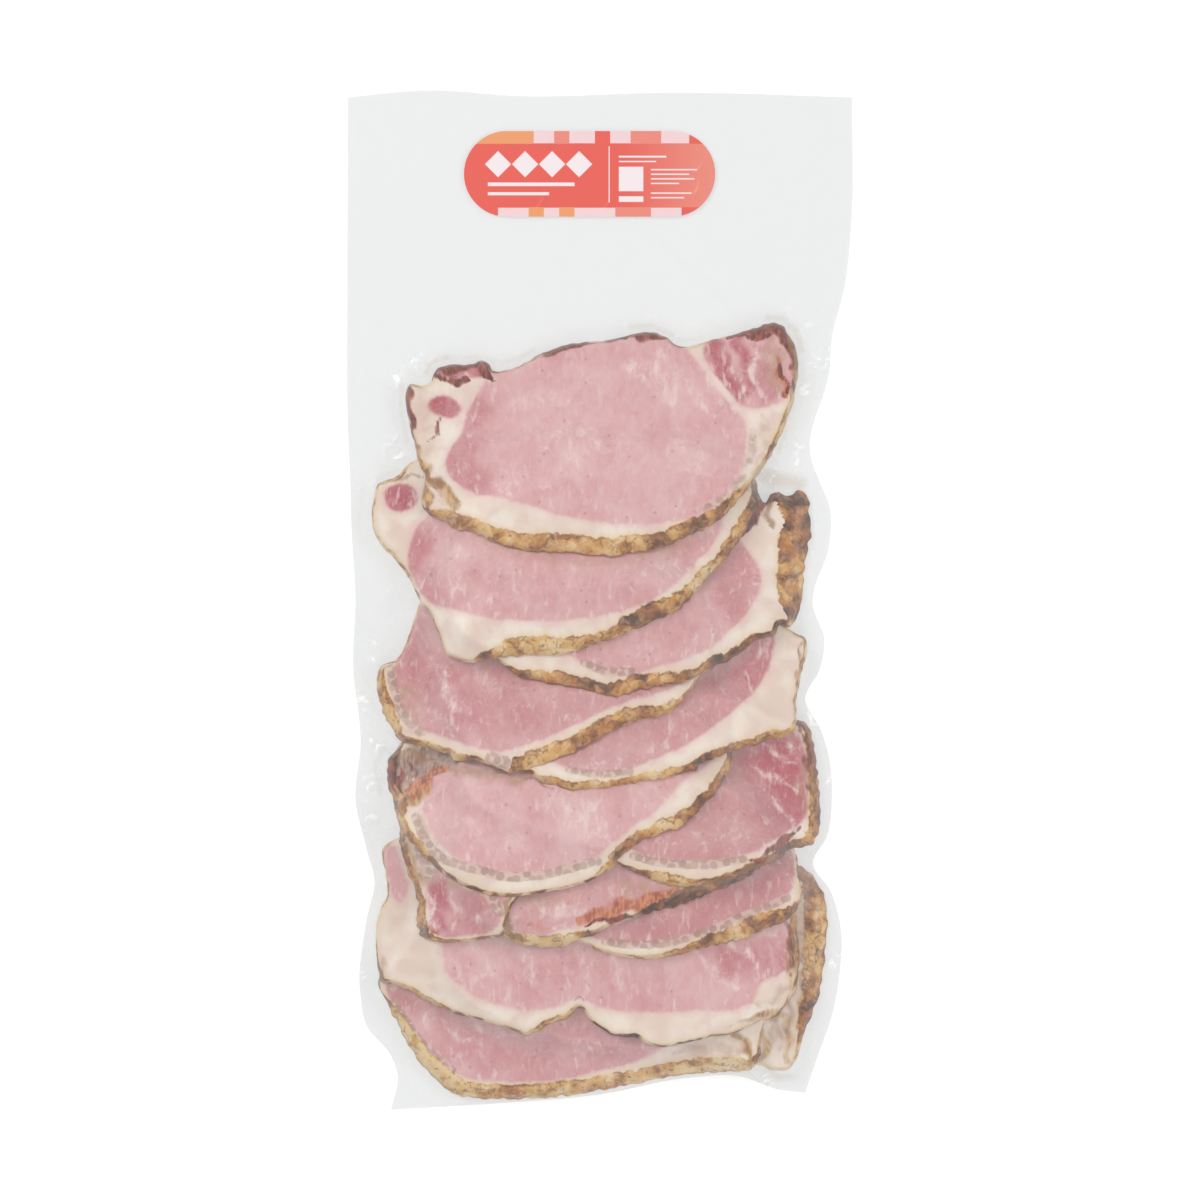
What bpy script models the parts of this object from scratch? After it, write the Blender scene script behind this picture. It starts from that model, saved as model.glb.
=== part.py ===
"""A vacuum pack of sliced smoked pork loin, lying on its back.

Run it with: blender --background --python part.py

The frame is in metres, +Z up. +X is the pack's right and +Y runs up the pack, from the slices to the
empty header that carries the label. The origin is under the middle of the pack, on the surface it lies on.

Two solids make the pack. The pouch is the clear film with the slices that it is shrunk on: a flat back,
a thin sealed flange all round and a front that takes the form of the shingled slices. The label is the
printed sticker on the header.
"""

import math

import bmesh
import bpy
import numpy as np

MM = 0.001

# The pouch: two films, sealed on all sides.
POUCH_LENGTH = 400 * MM
FLANGE_THICKNESS = 0.8 * MM

# The slices. Each is a cut through the whole loin, and the pile is as thick as the slices that cover a spot,
# until the vacuum presses it flatter.
SLICE_THICKNESS = 7 * MM
LOIN_WIDTH = 155 * MM
LOIN_DEPTH = 86 * MM
LOIN_SQUARENESS = 2.5  # 2 is an ellipse, and more makes the ends blunter
EDGE_SLOPE = 5 * MM  # how far in from its outline a slice reaches its full thickness
FILM_REACH = 6 * MM  # how far out from the slices the film comes down on the flange
PRESSED_HEIGHT = 37 * MM  # the height that the thickest pile comes close to

# The front's mesh: columns across, and rows along the slices and along the flat header.
COLUMNS = 46
SLICE_ROWS = 66
HEADER_ROWS = 5
HEADER_START = 114 * MM

# The label: a strip with round ends, stuck on the header.
LABEL_LENGTH = 98.5 * MM
LABEL_HEIGHT = 33.4 * MM
LABEL_THICKNESS = 0.4 * MM
LABEL_CENTRE = (-4 * MM, 167 * MM)
LABEL_ARC_STEPS = 18
TOUCHING_GAP = 0.3 * MM

# The slices as they lie, from the one at the foot of the pack to the one on top, in millimetres:
# the middle's X and Y, the width and depth as shares of the loin's, and the turn in degrees.
SLICES_MM = (
    ("foot_right", 12, -137, 0.99, 0.88, -4),
    ("foot", -10, -154, 0.99, 0.95, 4),
    ("two_lobed", 0, -131, 1.10, 0.96, -3),
    ("low_right", 7, -98, 0.92, 0.95, 8),
    ("low_middle", -2, -94, 0.92, 0.90, 12),
    ("low_left", -12, -90, 0.93, 0.92, 8),
    ("middle_right", 14, -70, 0.93, 0.95, 6),
    ("middle_left", -16, -73, 0.90, 0.95, 16),
    ("waist_right", 7, -31, 0.95, 0.95, 9),
    ("waist_left", -14, -24, 0.95, 0.95, 13),
    ("shoulder_right", 9, 6, 0.95, 0.97, 8),
    ("shoulder_left", -16, 21, 0.96, 0.95, 10),
    ("top", 1, 62, 1.00, 0.98, 6),
)

# The pouch's outline, where the vacuum has drawn its sides in: (Y, X) down each side and (X, Y) along
# each end, in millimetres.
LEFT_EDGE_MM = (
    (198, -99), (125, -99.2), (70, -99), (45, -98), (27, -97.5), (0, -96), (-24, -97), (-57, -94), (-78, -96), (-98, -91.5),
    (-110, -88.5), (-125, -91.5), (-155, -94), (-168, -91), (-178, -82.5), (-186, -79.5), (-200, -82),
)
RIGHT_EDGE_MM = (
    (198, 99), (150, 98.7), (121, 95.5), (106, 91.5), (90, 90), (55, 83), (47, 86), (35, 90.5), (22, 90),
    (-2, 83.5), (-16, 88), (-28, 86), (-39, 80.5), (-51, 86.5), (-80, 91), (-94, 89), (-105, 83.5),
    (-115, 90), (-128, 94), (-150, 94), (-169, 90.5), (-181, 86.5), (-200, 80.5),
)
TOP_EDGE_MM = ((-99, 197.3), (-68, 200), (-31, 197.8), (30, 199.2), (99, 197.3))
BOTTOM_EDGE_MM = ((-82, -200), (-40, -197.5), (0, -194), (35, -187.5), (55, -187), (70, -192), (81, -193.5))


def smooth_line(points, at):
    """Reads a smooth curve through (position, value) points, given in millimetres, at positions in metres."""
    points = np.array(sorted(points)) * MM
    place, value = points[:, 0], points[:, 1]
    slope = np.gradient(value, place)
    at = np.clip(at, place[0], place[-1])
    i = np.clip(np.searchsorted(place, at) - 1, 0, len(place) - 2)
    step = place[i + 1] - place[i]
    t = (at - place[i]) / step
    return (
        (2 * t**3 - 3 * t**2 + 1) * value[i]
        + (t**3 - 2 * t**2 + t) * step * slope[i]
        + (3 * t**2 - 2 * t**3) * value[i + 1]
        + (t**3 - t**2) * step * slope[i + 1]
    )


def ease(t):
    """Rises smoothly from 0 to 1 as t does."""
    t = np.clip(t, 0, 1)
    return t * t * (3 - 2 * t)


def pouch_places(across, along):
    """X and Y on the pouch for shares from 0 to 1: across from left to right, along from foot to top."""
    half = POUCH_LENGTH / 2
    y = -half + along * POUCH_LENGTH
    left = smooth_line(LEFT_EDGE_MM, y)
    right = smooth_line(RIGHT_EDGE_MM, y)
    x = left + across * (right - left)
    near_foot = (1 - along) ** 6
    near_top = along**6
    y = y + near_foot * (smooth_line(BOTTOM_EDGE_MM, x) + half)
    y = y + near_top * (smooth_line(TOP_EDGE_MM, x) - half)
    return x, y


def slice_cover(x, y, middle_x, middle_y, width, depth, turn):
    """How much of its thickness a slice has at each spot, from 0 outside its outline to 1."""
    angle = math.radians(turn)
    dx, dy = x - middle_x * MM, y - middle_y * MM
    along = (dx * math.cos(angle) + dy * math.sin(angle)) / (LOIN_WIDTH * width / 2)
    across = (dy * math.cos(angle) - dx * math.sin(angle)) / (LOIN_DEPTH * depth / 2)
    reach = (abs(along) ** LOIN_SQUARENESS + abs(across) ** LOIN_SQUARENESS) ** (1 / LOIN_SQUARENESS)
    from_edge = (1 - reach) * LOIN_DEPTH * depth / 2
    return ease((from_edge + FILM_REACH / 2) / (EDGE_SLOPE + FILM_REACH / 2))


def pile_height(x, y):
    """The height of the pile: every slice adds its thickness where it lies, and the film presses them."""
    loose = np.zeros_like(x)
    for _, middle_x, middle_y, width, depth, turn in SLICES_MM:
        loose += SLICE_THICKNESS * slice_cover(x, y, middle_x, middle_y, width, depth, turn)
    return PRESSED_HEIGHT * np.tanh(loose / PRESSED_HEIGHT)


def row_shares():
    """The share of the pouch's length at each row of the front: fine along the slices, coarse in the header."""
    start = HEADER_START / POUCH_LENGTH + 0.5
    slices = np.linspace(0, start, SLICE_ROWS + 1)
    header = np.linspace(start, 1, HEADER_ROWS + 1)
    return np.concatenate([slices, header[1:]])


def material(name, colour, roughness):
    """A plain finish of one colour."""
    made = bpy.data.materials.new(name)
    made.use_nodes = True
    shader = made.node_tree.nodes["Principled BSDF"]
    shader.inputs["Base Color"].default_value = (*colour, 1)
    shader.inputs["Roughness"].default_value = roughness
    shader.inputs["Metallic"].default_value = 0
    return made


def solid_object(name, shape, finish):
    """Puts a closed bmesh in the scene as one named object."""
    bmesh.ops.recalc_face_normals(shape, faces=shape.faces)
    mesh = bpy.data.meshes.new(name)
    shape.to_mesh(mesh)
    shape.free()
    mesh.materials.append(finish)
    mesh.shade_smooth()
    mesh.set_sharp_from_angle(angle=math.radians(40))
    made = bpy.data.objects.new(name, mesh)
    bpy.context.scene.collection.objects.link(made)
    return made


def make_pouch():
    """The front is a grid laid over the pile. Its rim is extruded down to the flat back."""
    rows = row_shares()
    shape = bmesh.new()
    bmesh.ops.create_grid(shape, x_segments=COLUMNS, y_segments=len(rows) - 1, size=0.5)
    shape.verts.ensure_lookup_table()
    places = np.array([v.co for v in shape.verts])
    across = places[:, 0] + 0.5
    along = np.interp(places[:, 1] + 0.5, np.linspace(0, 1, len(rows)), rows)
    x, y = pouch_places(across, along)
    from_rim = np.minimum.reduce([across, 1 - across, along, 1 - along]) > 1e-6
    z = FLANGE_THICKNESS + np.where(from_rim, pile_height(x, y), 0)
    for vert, place in zip(shape.verts, zip(x, y, z)):
        vert.co = place
    rim = [edge for edge in shape.edges if edge.is_boundary]
    walls = bmesh.ops.extrude_edge_only(shape, edges=rim)["geom"]
    for vert in (item for item in walls if isinstance(item, bmesh.types.BMVert)):
        vert.co.z = 0
    back = [item for item in walls if isinstance(item, bmesh.types.BMEdge) and item.is_boundary]
    bmesh.ops.edgeloop_fill(shape, edges=back)
    return solid_object("pouch", shape, material("clear_film_on_pork", (0.72, 0.45, 0.42), 0.25))


def make_label():
    """A strip with round ends, lying on the header."""
    radius = LABEL_HEIGHT / 2
    straight = LABEL_LENGTH / 2 - radius
    low = FLANGE_THICKNESS + TOUCHING_GAP
    shape = bmesh.new()
    outline = []
    for end, start in ((1, -90), (-1, 90)):
        for step in range(LABEL_ARC_STEPS + 1):
            angle = math.radians(start + 180 * step / LABEL_ARC_STEPS)
            x = LABEL_CENTRE[0] + end * straight + radius * math.cos(angle)
            y = LABEL_CENTRE[1] + radius * math.sin(angle)
            outline.append(shape.verts.new((x, y, low)))
    face = shape.faces.new(outline)
    raised = bmesh.ops.extrude_face_region(shape, geom=[face])["geom"]
    for vert in (item for item in raised if isinstance(item, bmesh.types.BMVert)):
        vert.co.z += LABEL_THICKNESS
    return solid_object("label", shape, material("printed_label", (0.85, 0.20, 0.14), 0.45))


def main():
    for item in list(bpy.data.objects):
        bpy.data.objects.remove(item)
    make_pouch()
    make_label()


main()
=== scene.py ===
# %% [markdown]
# # A vacuum pack of sliced smoked pork loin
# The pack lies on its back. A clear pouch is shrunk over shingled slices of smoked pork loin, and the
# pouch's empty header carries a printed strip label. The CAD model knows the pack as one plain solid with
# a label on it. This lesson replaces them with what a buyer sees: thirteen slices, each with its own lean,
# fat and rind, the film over them, and the label. Everything is in metres, with +Y towards the header.

# %% Load the frame
import math

import bpy
import numpy as np
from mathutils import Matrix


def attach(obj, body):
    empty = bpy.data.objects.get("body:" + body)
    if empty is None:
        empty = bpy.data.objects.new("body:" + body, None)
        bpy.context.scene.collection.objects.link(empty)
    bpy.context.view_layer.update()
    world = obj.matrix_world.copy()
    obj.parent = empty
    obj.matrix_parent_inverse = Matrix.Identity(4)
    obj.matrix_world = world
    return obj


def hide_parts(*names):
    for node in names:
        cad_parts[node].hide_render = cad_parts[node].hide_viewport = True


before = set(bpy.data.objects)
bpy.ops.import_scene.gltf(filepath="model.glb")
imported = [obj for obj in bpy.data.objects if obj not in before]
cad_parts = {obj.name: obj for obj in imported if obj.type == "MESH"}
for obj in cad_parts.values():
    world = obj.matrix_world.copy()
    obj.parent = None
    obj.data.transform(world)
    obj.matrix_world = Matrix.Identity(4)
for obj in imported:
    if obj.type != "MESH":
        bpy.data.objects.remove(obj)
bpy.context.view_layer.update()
MM = 0.001

# %% [markdown]
# ## Camera
# The pack is seen from straight above, as on a packing bench. A long lens far away keeps the tall slices
# from leaning outwards. A plain camera that isn't turned looks down with +Y at the top of the picture.

# %% Camera over the pack
VIEW_WIDTH = 471 * MM
LENS = 200
SENSOR = 36
FARTHEST_SEEN = 20


def everything_deselected():
    """Leaves object mode clean, so that an operator acts only on what is made next."""
    if bpy.context.mode != "OBJECT":
        bpy.ops.object.mode_set(mode="OBJECT")
    bpy.ops.object.select_all(action="DESELECT")


everything_deselected()
bpy.ops.object.camera_add(location=(0, 0, VIEW_WIDTH * LENS / SENSOR), rotation=(0, 0, 0))
camera = bpy.context.object
camera.name = "camera"
camera.data.lens = LENS
camera.data.sensor_width = SENSOR
camera.data.clip_end = FARTHEST_SEEN
bpy.context.scene.camera = camera
print("the camera stands", round(camera.location.z, 2), "m above the floor")

# %% [markdown]
# ## Light and floor
# Food looks best in very soft light. A white sky gives most of it, so that no shadow is black, and a
# large light panel from the upper left gives the slices their form and draws a soft sheen on the film.

# %% Sky, panels and floor
WHITE_LIGHT = (1, 1, 1, 1)
SKY_STRENGTH = 0.64
FLOOR_COLOUR = (0.45, 0.45, 0.45, 1)
FLOOR_GLOW = 0.58
FLOOR_SIZE = 8
FLOOR_DROP = 0.2 * MM  # how far the floor is under the pack


def light_panel(name, place, size, power):
    """A square soft light that looks at the pack."""
    everything_deselected()
    bpy.ops.object.light_add(type="AREA", location=place)
    panel = bpy.context.object
    panel.name = name
    panel.data.size = size
    panel.data.energy = power
    away = np.array(place)
    flat = math.hypot(away[0], away[1])
    panel.rotation_euler = (math.atan2(flat, away[2]), 0, math.atan2(away[1], away[0]) + math.pi / 2)
    return panel


scene = bpy.context.scene
scene.view_settings.view_transform = "Standard"
sky = bpy.data.worlds.new("soft_sky")
scene.world = sky
sky.use_nodes = True
sky_shader = sky.node_tree.nodes["Background"]
sky_shader.inputs["Color"].default_value = WHITE_LIGHT
sky_shader.inputs["Strength"].default_value = SKY_STRENGTH
light_panel("panel_upper_left", (-0.9, 0.9, 1.1), 0.7, 13)
light_panel("panel_right", (1.2, 0.1, 0.9), 0.5, 6)
light_panel("panel_lower", (0.1, -1.1, 1.2), 0.6, 5)

everything_deselected()
bpy.ops.mesh.primitive_plane_add(size=FLOOR_SIZE, location=(0, 0, -FLOOR_DROP))
floor = bpy.context.object
floor.name = "floor"
floor_finish = bpy.data.materials.new("pale_floor")
floor_finish.use_nodes = True
floor_shader = floor_finish.node_tree.nodes["Principled BSDF"]
floor_shader.inputs["Base Color"].default_value = FLOOR_COLOUR
floor_shader.inputs["Roughness"].default_value = 0.9
floor_shader.inputs["Emission Color"].default_value = WHITE_LIGHT
floor_shader.inputs["Emission Strength"].default_value = FLOOR_GLOW
floor.data.materials.append(floor_finish)

# %% [markdown]
# ## Small helpers for node materials
# A finish is written as a few short lines: a noise of a size in millimetres, a smooth step between two
# values, and a mix of two colours. Colours are given as they look on a screen, from 0 to 255.

# %% Node helpers


def screen_colour(red, green, blue):
    """A colour as seen on a screen, as the linear values that a shader takes."""
    shares = [value / 255 for value in (red, green, blue)]
    linear = [s / 12.92 if s <= 0.04045 else ((s + 0.055) / 1.055) ** 2.4 for s in shares]
    return (*linear, 1)


def new_finish(name):
    """A material and its nodes."""
    made = bpy.data.materials.new(name)
    made.use_nodes = True
    return made, made.node_tree


def plug(tree, value, socket):
    """Links a socket, or sets a value."""
    if isinstance(value, bpy.types.NodeSocket):
        tree.links.new(value, socket)
    else:
        socket.default_value = value


def calc(tree, operation, first, second=0.0, clamp=False):
    """One step of arithmetic."""
    made = tree.nodes.new("ShaderNodeMath")
    made.operation = operation
    made.use_clamp = clamp
    plug(tree, first, made.inputs[0])
    plug(tree, second, made.inputs[1])
    return made.outputs[0]


def step(tree, value, low, high):
    """Rises smoothly from 0 to 1 while value goes from low to high."""
    made = tree.nodes.new("ShaderNodeMapRange")
    made.interpolation_type = "SMOOTHSTEP"
    plug(tree, value, made.inputs["Value"])
    plug(tree, low, made.inputs["From Min"])
    plug(tree, high, made.inputs["From Max"])
    return made.outputs["Result"]


def blend_colours(tree, share, first, second):
    """Mixes two colours."""
    made = tree.nodes.new("ShaderNodeMix")
    made.data_type = "RGBA"
    plug(tree, share, made.inputs[0])
    plug(tree, first, made.inputs[6])
    plug(tree, second, made.inputs[7])
    return made.outputs[2]


def ramp(tree, value, stops):
    """A row of colours, each at its place from 0 to 1."""
    made = tree.nodes.new("ShaderNodeValToRGB")
    plug(tree, value, made.inputs["Fac"])
    band = made.color_ramp
    while len(band.elements) < len(stops):
        band.elements.new(0.5)
    for element, (place, colour) in zip(band.elements, stops):
        element.position = place
        element.color = colour
    return made.outputs["Color"]


def laid_over(tree, below, colour, share, amount):
    """Lays a colour over what is below it: share says where, and amount how strongly."""
    return blend_colours(tree, calc(tree, "MULTIPLY", share, amount), below, colour)


def object_places(tree):
    """Where a point is on its piece, in metres."""
    return tree.nodes.new("ShaderNodeTexCoord").outputs["Object"]


def vector_calc(tree, operation, first, second):
    """One step of arithmetic on places. SCALE takes a plain number."""
    made = tree.nodes.new("ShaderNodeVectorMath")
    made.operation = operation
    plug(tree, first, made.inputs[0])
    plug(tree, second, made.inputs["Scale" if operation == "SCALE" else 1])
    return made.outputs["Vector"]


def counted(tree, places, size_mm, stretch=(1, 1, 1)):
    """Places counted in steps of a size in millimetres. The steps are longer where stretch is under 1."""
    made = tree.nodes.new("ShaderNodeMapping")
    plug(tree, places, made.inputs["Vector"])
    made.inputs["Scale"].default_value = [s / (size_mm * MM) for s in stretch]
    return made.outputs["Vector"]


def noise(tree, places, size_mm, detail=2.0, stretch=(1, 1, 1), twist=0.0, kind="Fac"):
    """Cloudy noise from 0 to 1 with features of a size in millimetres, longer where stretch is under 1."""
    made = tree.nodes.new("ShaderNodeTexNoise")
    tree.links.new(counted(tree, places, size_mm, stretch), made.inputs["Vector"])
    made.inputs["Scale"].default_value = 1
    made.inputs["Detail"].default_value = detail
    made.inputs["Distortion"].default_value = twist
    return made.outputs[kind]


def spread(tree, value, strength):
    """Turns noise from 0 to 1 into a push from -strength / 2 to strength / 2."""
    return calc(tree, "MULTIPLY", calc(tree, "SUBTRACT", value, 0.5), strength)


def reading(tree, name):
    """A number that the mesh carries."""
    made = tree.nodes.new("ShaderNodeAttribute")
    made.attribute_name = name
    return made.outputs["Fac"]


print("a screen's mid grey is", round(screen_colour(128, 128, 128)[0], 3))

# %% [markdown]
# ## The meat's finish
# A slice of smoked loin has three looks: pink lean with pale marbling, cream fat, and golden brown rind
# round the outside. One material makes them all, because they blend into each other. Each slice's mesh
# carries distances in millimetres: how far a point is from the rim, and how far inside the lean it is. The
# material only has to ask on which side of a wavy line a point lies, so the edges are crisp at any size.
# Marks that were painted on the mesh add what is not regular: smoke stains, red muscles, tan crust and the
# grey jelly that gathers between lean and fat. Some marks also paint light and shade. The brownish shade
# mark is a smoky tinge, and also painted shade under the rinds of the slices above. The thin dark lines
# are painted shade in the fat's folds, and also brown cracks in the crust. Pale marks and pale streaks on
# the lean are fibres, and also a painted sheen of the film over them.

# %% The meat's material
LEAN_PALE = screen_colour(226, 186, 186)
LEAN_MID = screen_colour(220, 168, 169)
LEAN_DEEP = screen_colour(204, 146, 149)
BLUSH_PALE = screen_colour(207, 150, 150)
BLUSH_DEEP = screen_colour(185, 120, 123)
LEAN_RED = screen_colour(180, 80, 94)
MARBLE = screen_colour(236, 212, 207)
SPECK = screen_colour(160, 112, 112)
FAT_LIGHT = screen_colour(238, 224, 211)
FAT_WARM = screen_colour(228, 206, 190)
FAT_PINK = screen_colour(226, 196, 190)
FAT_BY_RIND = screen_colour(226, 200, 160)
RIND_EDGE = screen_colour(118, 78, 52)
RIND_DARK = screen_colour(84, 54, 42)
RIND_ORANGE = screen_colour(186, 110, 58)
RIND_CREAM = screen_colour(230, 208, 178)
RIND_COLOURS = (
    (0.0, screen_colour(228, 198, 150)),
    (0.25, screen_colour(216, 172, 108)),
    (0.45, screen_colour(199, 144, 78)),
    (0.6, screen_colour(166, 110, 62)),
    (0.8, screen_colour(116, 73, 48)),
    (1.0, screen_colour(78, 48, 38)),
)
SMOKE_DARK = screen_colour(98, 44, 38)
SMOKE_LIGHT = screen_colour(156, 80, 62)
# Thin dark lines: painted shade in folds of the fat, and brown cracks in the crust.
CREASE_SHADE_AND_CRACK = screen_colour(158, 112, 76)
GOLD = screen_colour(212, 174, 118)
GOLD_DARK = screen_colour(164, 118, 78)
# Painted shade under the rinds of the slices above, and a smoky brown tinge elsewhere.
SHADE = screen_colour(184, 142, 118)
TAN = screen_colour(188, 156, 140)
TAN_DARK = screen_colour(142, 108, 92)
EMBER = screen_colour(210, 136, 98)
EMBER_DARK = screen_colour(166, 84, 54)
JELLY_WALL = screen_colour(214, 186, 172)
JELLY_MID = screen_colour(192, 158, 145)
JELLY_DARK = screen_colour(164, 130, 117)
FACET = 4.4  # sizes, in millimetres
BEAD = 3.4
SPECK_SPACING = 8.5


def cells(tree, places, size_mm, feature="F1"):
    """Cells of a size in millimetres: how far from a cell's middle or wall, and a random colour for each."""
    made = tree.nodes.new("ShaderNodeTexVoronoi")
    made.feature = feature
    made.voronoi_dimensions = "2D"
    tree.links.new(counted(tree, places, size_mm), made.inputs["Vector"])
    made.inputs["Scale"].default_value = 1
    return made


def luck(tree, cell):
    """A random number for each cell."""
    made = tree.nodes.new("ShaderNodeSeparateColor")
    tree.links.new(cell.outputs["Color"], made.inputs[0])
    return made.outputs[0]


def warped(tree, places, size_mm, push_mm):
    """Places pushed about by noise, so that a pattern read there is less regular."""
    centred = vector_calc(tree, "SUBTRACT", noise(tree, places, size_mm, kind="Color"), (0.5, 0.5, 0.5))
    return vector_calc(tree, "ADD", places, vector_calc(tree, "SCALE", centred, push_mm * MM * 2))


def make_clouds(tree, places):
    """The noises that all parts of the finish share, from broad to fine."""
    return {
        "broad": noise(tree, places, 15, 2),
        "middle": noise(tree, places, 7.5, 3, twist=0.4),
        "other": noise(tree, places, 5.5, 3, twist=0.8),
        "small": noise(tree, places, 4, 3, (1, 0.7, 1), 0.5),
        "fine": noise(tree, places, 1.8, 3, twist=0.3),
        "fleck": noise(tree, places, 2.6, 4, twist=1.0),
        "fibre": noise(tree, places, 2.6, 4, (1, 0.38, 1), 0.5),
        "hair": noise(tree, places, 1.1, 2, (1, 0.28, 1)),
    }


def fat_colour(tree, clouds, lean_edge, rind_edge):
    """Cream, warmer and pinker in patches, pink against the lean and yellower against the rind."""
    cream = blend_colours(tree, step(tree, clouds["broad"], 0.35, 0.65), FAT_LIGHT, FAT_WARM)
    cream = laid_over(tree, cream, FAT_WARM, step(tree, clouds["fibre"], 0.5, 0.72), 0.4)
    cream = laid_over(tree, cream, FAT_PINK, step(tree, clouds["middle"], 0.48, 0.68), 0.5)
    cream = laid_over(tree, cream, LEAN_PALE, step(tree, lean_edge, -3, 0), 0.4)
    return laid_over(tree, cream, FAT_BY_RIND, step(tree, rind_edge, -2.6, 0.2), 0.6)


def lean_colour(tree, clouds, places, depth, blush, red, pale):
    """Pink, even with soft clouds and fine fibres, a few pale streaks partly painted as film sheen, membranes
    where red.
    """
    soft = calc(tree, "ADD", spread(tree, clouds["broad"], 1.2), spread(tree, clouds["small"], 0.9))
    deep = calc(tree, "ADD", soft, calc(tree, "ADD", spread(tree, clouds["hair"], 0.4), 0.4))
    pink = ramp(tree, deep, ((0.0, LEAN_PALE), (0.5, LEAN_MID), (1.0, LEAN_DEEP)))
    blushed = ramp(tree, deep, ((0.0, BLUSH_PALE), (1.0, BLUSH_DEEP)))
    pink = blend_colours(tree, blush, pink, blushed)
    uneven = calc(tree, "ADD", spread(tree, clouds["small"], 0.8), 0.85)
    pink = blend_colours(tree, calc(tree, "MULTIPLY", red, uneven, clamp=True), pink, LEAN_RED)
    by_edge = calc(tree, "ADD", calc(tree, "MULTIPLY", step(tree, depth, 14, 2), 0.35), 0.26)
    pink = laid_over(tree, pink, MARBLE, step(tree, clouds["fibre"], 0.54, 0.72), by_edge)
    # Pale streaks: fibres, and also a painted reflection of the film over the lean.
    streaks_and_sheen, patches = step(tree, clouds["hair"], 0.62, 0.76), step(tree, clouds["middle"], 0.48, 0.62)
    pink = laid_over(tree, pink, MARBLE, calc(tree, "MULTIPLY", streaks_and_sheen, patches), 0.5)
    contour = calc(tree, "ABSOLUTE", calc(tree, "SUBTRACT", clouds["other"], 0.5))
    clear = calc(tree, "ADD", calc(tree, "MULTIPLY", step(tree, red, 0.2, 0.7), 0.06), 0.1)
    clear = calc(tree, "ADD", clear, calc(tree, "MULTIPLY", pale, 0.4))
    pink = laid_over(tree, pink, MARBLE, step(tree, contour, 0.03, 0.0), clear)
    spots = cells(tree, places, SPECK_SPACING)
    dots = step(tree, spots.outputs["Distance"], 0.09, 0.04)
    some = calc(tree, "MULTIPLY", dots, step(tree, luck(tree, spots), 0.66, 0.72))
    return laid_over(tree, pink, SPECK, some, 0.4)


def rind_colour(tree, clouds, places, rim, inside, tone):
    """Gold to dark brown facets with soft brown cracks, and a broken brown line on both sides, at the rim
    partly painted shadow.
    """
    bent = warped(tree, places, 7, 3.4)
    facet = spread(tree, luck(tree, cells(tree, bent, FACET)), 0.34)
    blotch = calc(tree, "ADD", spread(tree, clouds["middle"], 1.1), spread(tree, clouds["broad"], 0.7))
    grain = spread(tree, clouds["fine"], 0.45)
    deep = calc(tree, "ADD", calc(tree, "ADD", blotch, grain), calc(tree, "ADD", tone, facet))
    brown = ramp(tree, deep, RIND_COLOURS)
    glow = calc(tree, "MULTIPLY", step(tree, clouds["other"], 0.52, 0.64), step(tree, deep, 0.2, 0.5))
    brown = laid_over(tree, brown, RIND_ORANGE, glow, 0.55)
    slips = calc(tree, "MULTIPLY", step(tree, clouds["small"], 0.53, 0.66), step(tree, tone, 0.9, 0.3))
    brown = laid_over(tree, brown, RIND_CREAM, slips, 0.42)
    walls = step(tree, cells(tree, bent, FACET, "DISTANCE_TO_EDGE").outputs["Distance"], 0.14, 0.0)
    cracks = calc(tree, "MULTIPLY", walls, step(tree, clouds["middle"], 0.45, 0.6))
    brown = laid_over(tree, brown, RIND_EDGE, cracks, 0.5)
    brown = laid_over(tree, brown, RIND_DARK, step(tree, clouds["fleck"], 0.56, 0.68), 0.6)
    # The line at the very rim is the rind's brown edge, and also painted contact shadow where the slice meets
    # the one below.
    rim_line_and_contact_shade = calc(tree, "MULTIPLY", step(tree, rim, 0.9, 0.2), 0.6)
    lines = calc(tree, "MAXIMUM", rim_line_and_contact_shade, step(tree, inside, 1.1, 0.0))
    lines = calc(tree, "MULTIPLY", lines, step(tree, clouds["other"], 0.42, 0.58))
    return laid_over(tree, brown, RIND_EDGE, lines, 0.75)


def stain(tree, clouds, amount, below, light, dark, rough=1.8, soft=0.6):
    """A painted mark with a rough edge and fibres of two colours, over what is below it."""
    ragged = calc(tree, "ADD", amount, spread(tree, clouds["fibre"], rough))
    edge = step(tree, ragged, 0.55 - soft / 2, 0.55 + soft / 2)
    share = calc(tree, "MULTIPLY", edge, step(tree, amount, 0.02, 0.3))
    mixed = calc(tree, "ADD", spread(tree, clouds["hair"], 0.9), clouds["small"])
    return blend_colours(tree, share, below, blend_colours(tree, step(tree, mixed, 0.3, 0.7), light, dark))


def jelly_colour(tree, clouds, below):
    """A chain of grey pink bubbles: the mesh carries how far along and beside the chain a point is."""
    chain = tree.nodes.new("ShaderNodeCombineXYZ")
    plug(tree, calc(tree, "MULTIPLY", reading(tree, "jelly_along"), MM), chain.inputs["X"])
    plug(tree, calc(tree, "MULTIPLY", reading(tree, "jelly_beside"), MM), chain.inputs["Y"])
    beads = cells(tree, chain.outputs["Vector"], BEAD)
    beads.inputs["Randomness"].default_value = 0.8
    filling = blend_colours(tree, luck(tree, beads), JELLY_MID, JELLY_DARK)
    fuzzy = calc(tree, "ADD", beads.outputs["Distance"], spread(tree, clouds["fine"], 0.35))
    bubble = blend_colours(tree, step(tree, fuzzy, 0.58, 0.38), JELLY_WALL, filling)
    ragged = calc(tree, "ADD", reading(tree, "jelly"), spread(tree, clouds["small"], 0.8))
    return laid_over(tree, below, bubble, step(tree, ragged, 0.25, 0.65), 0.75)


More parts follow.
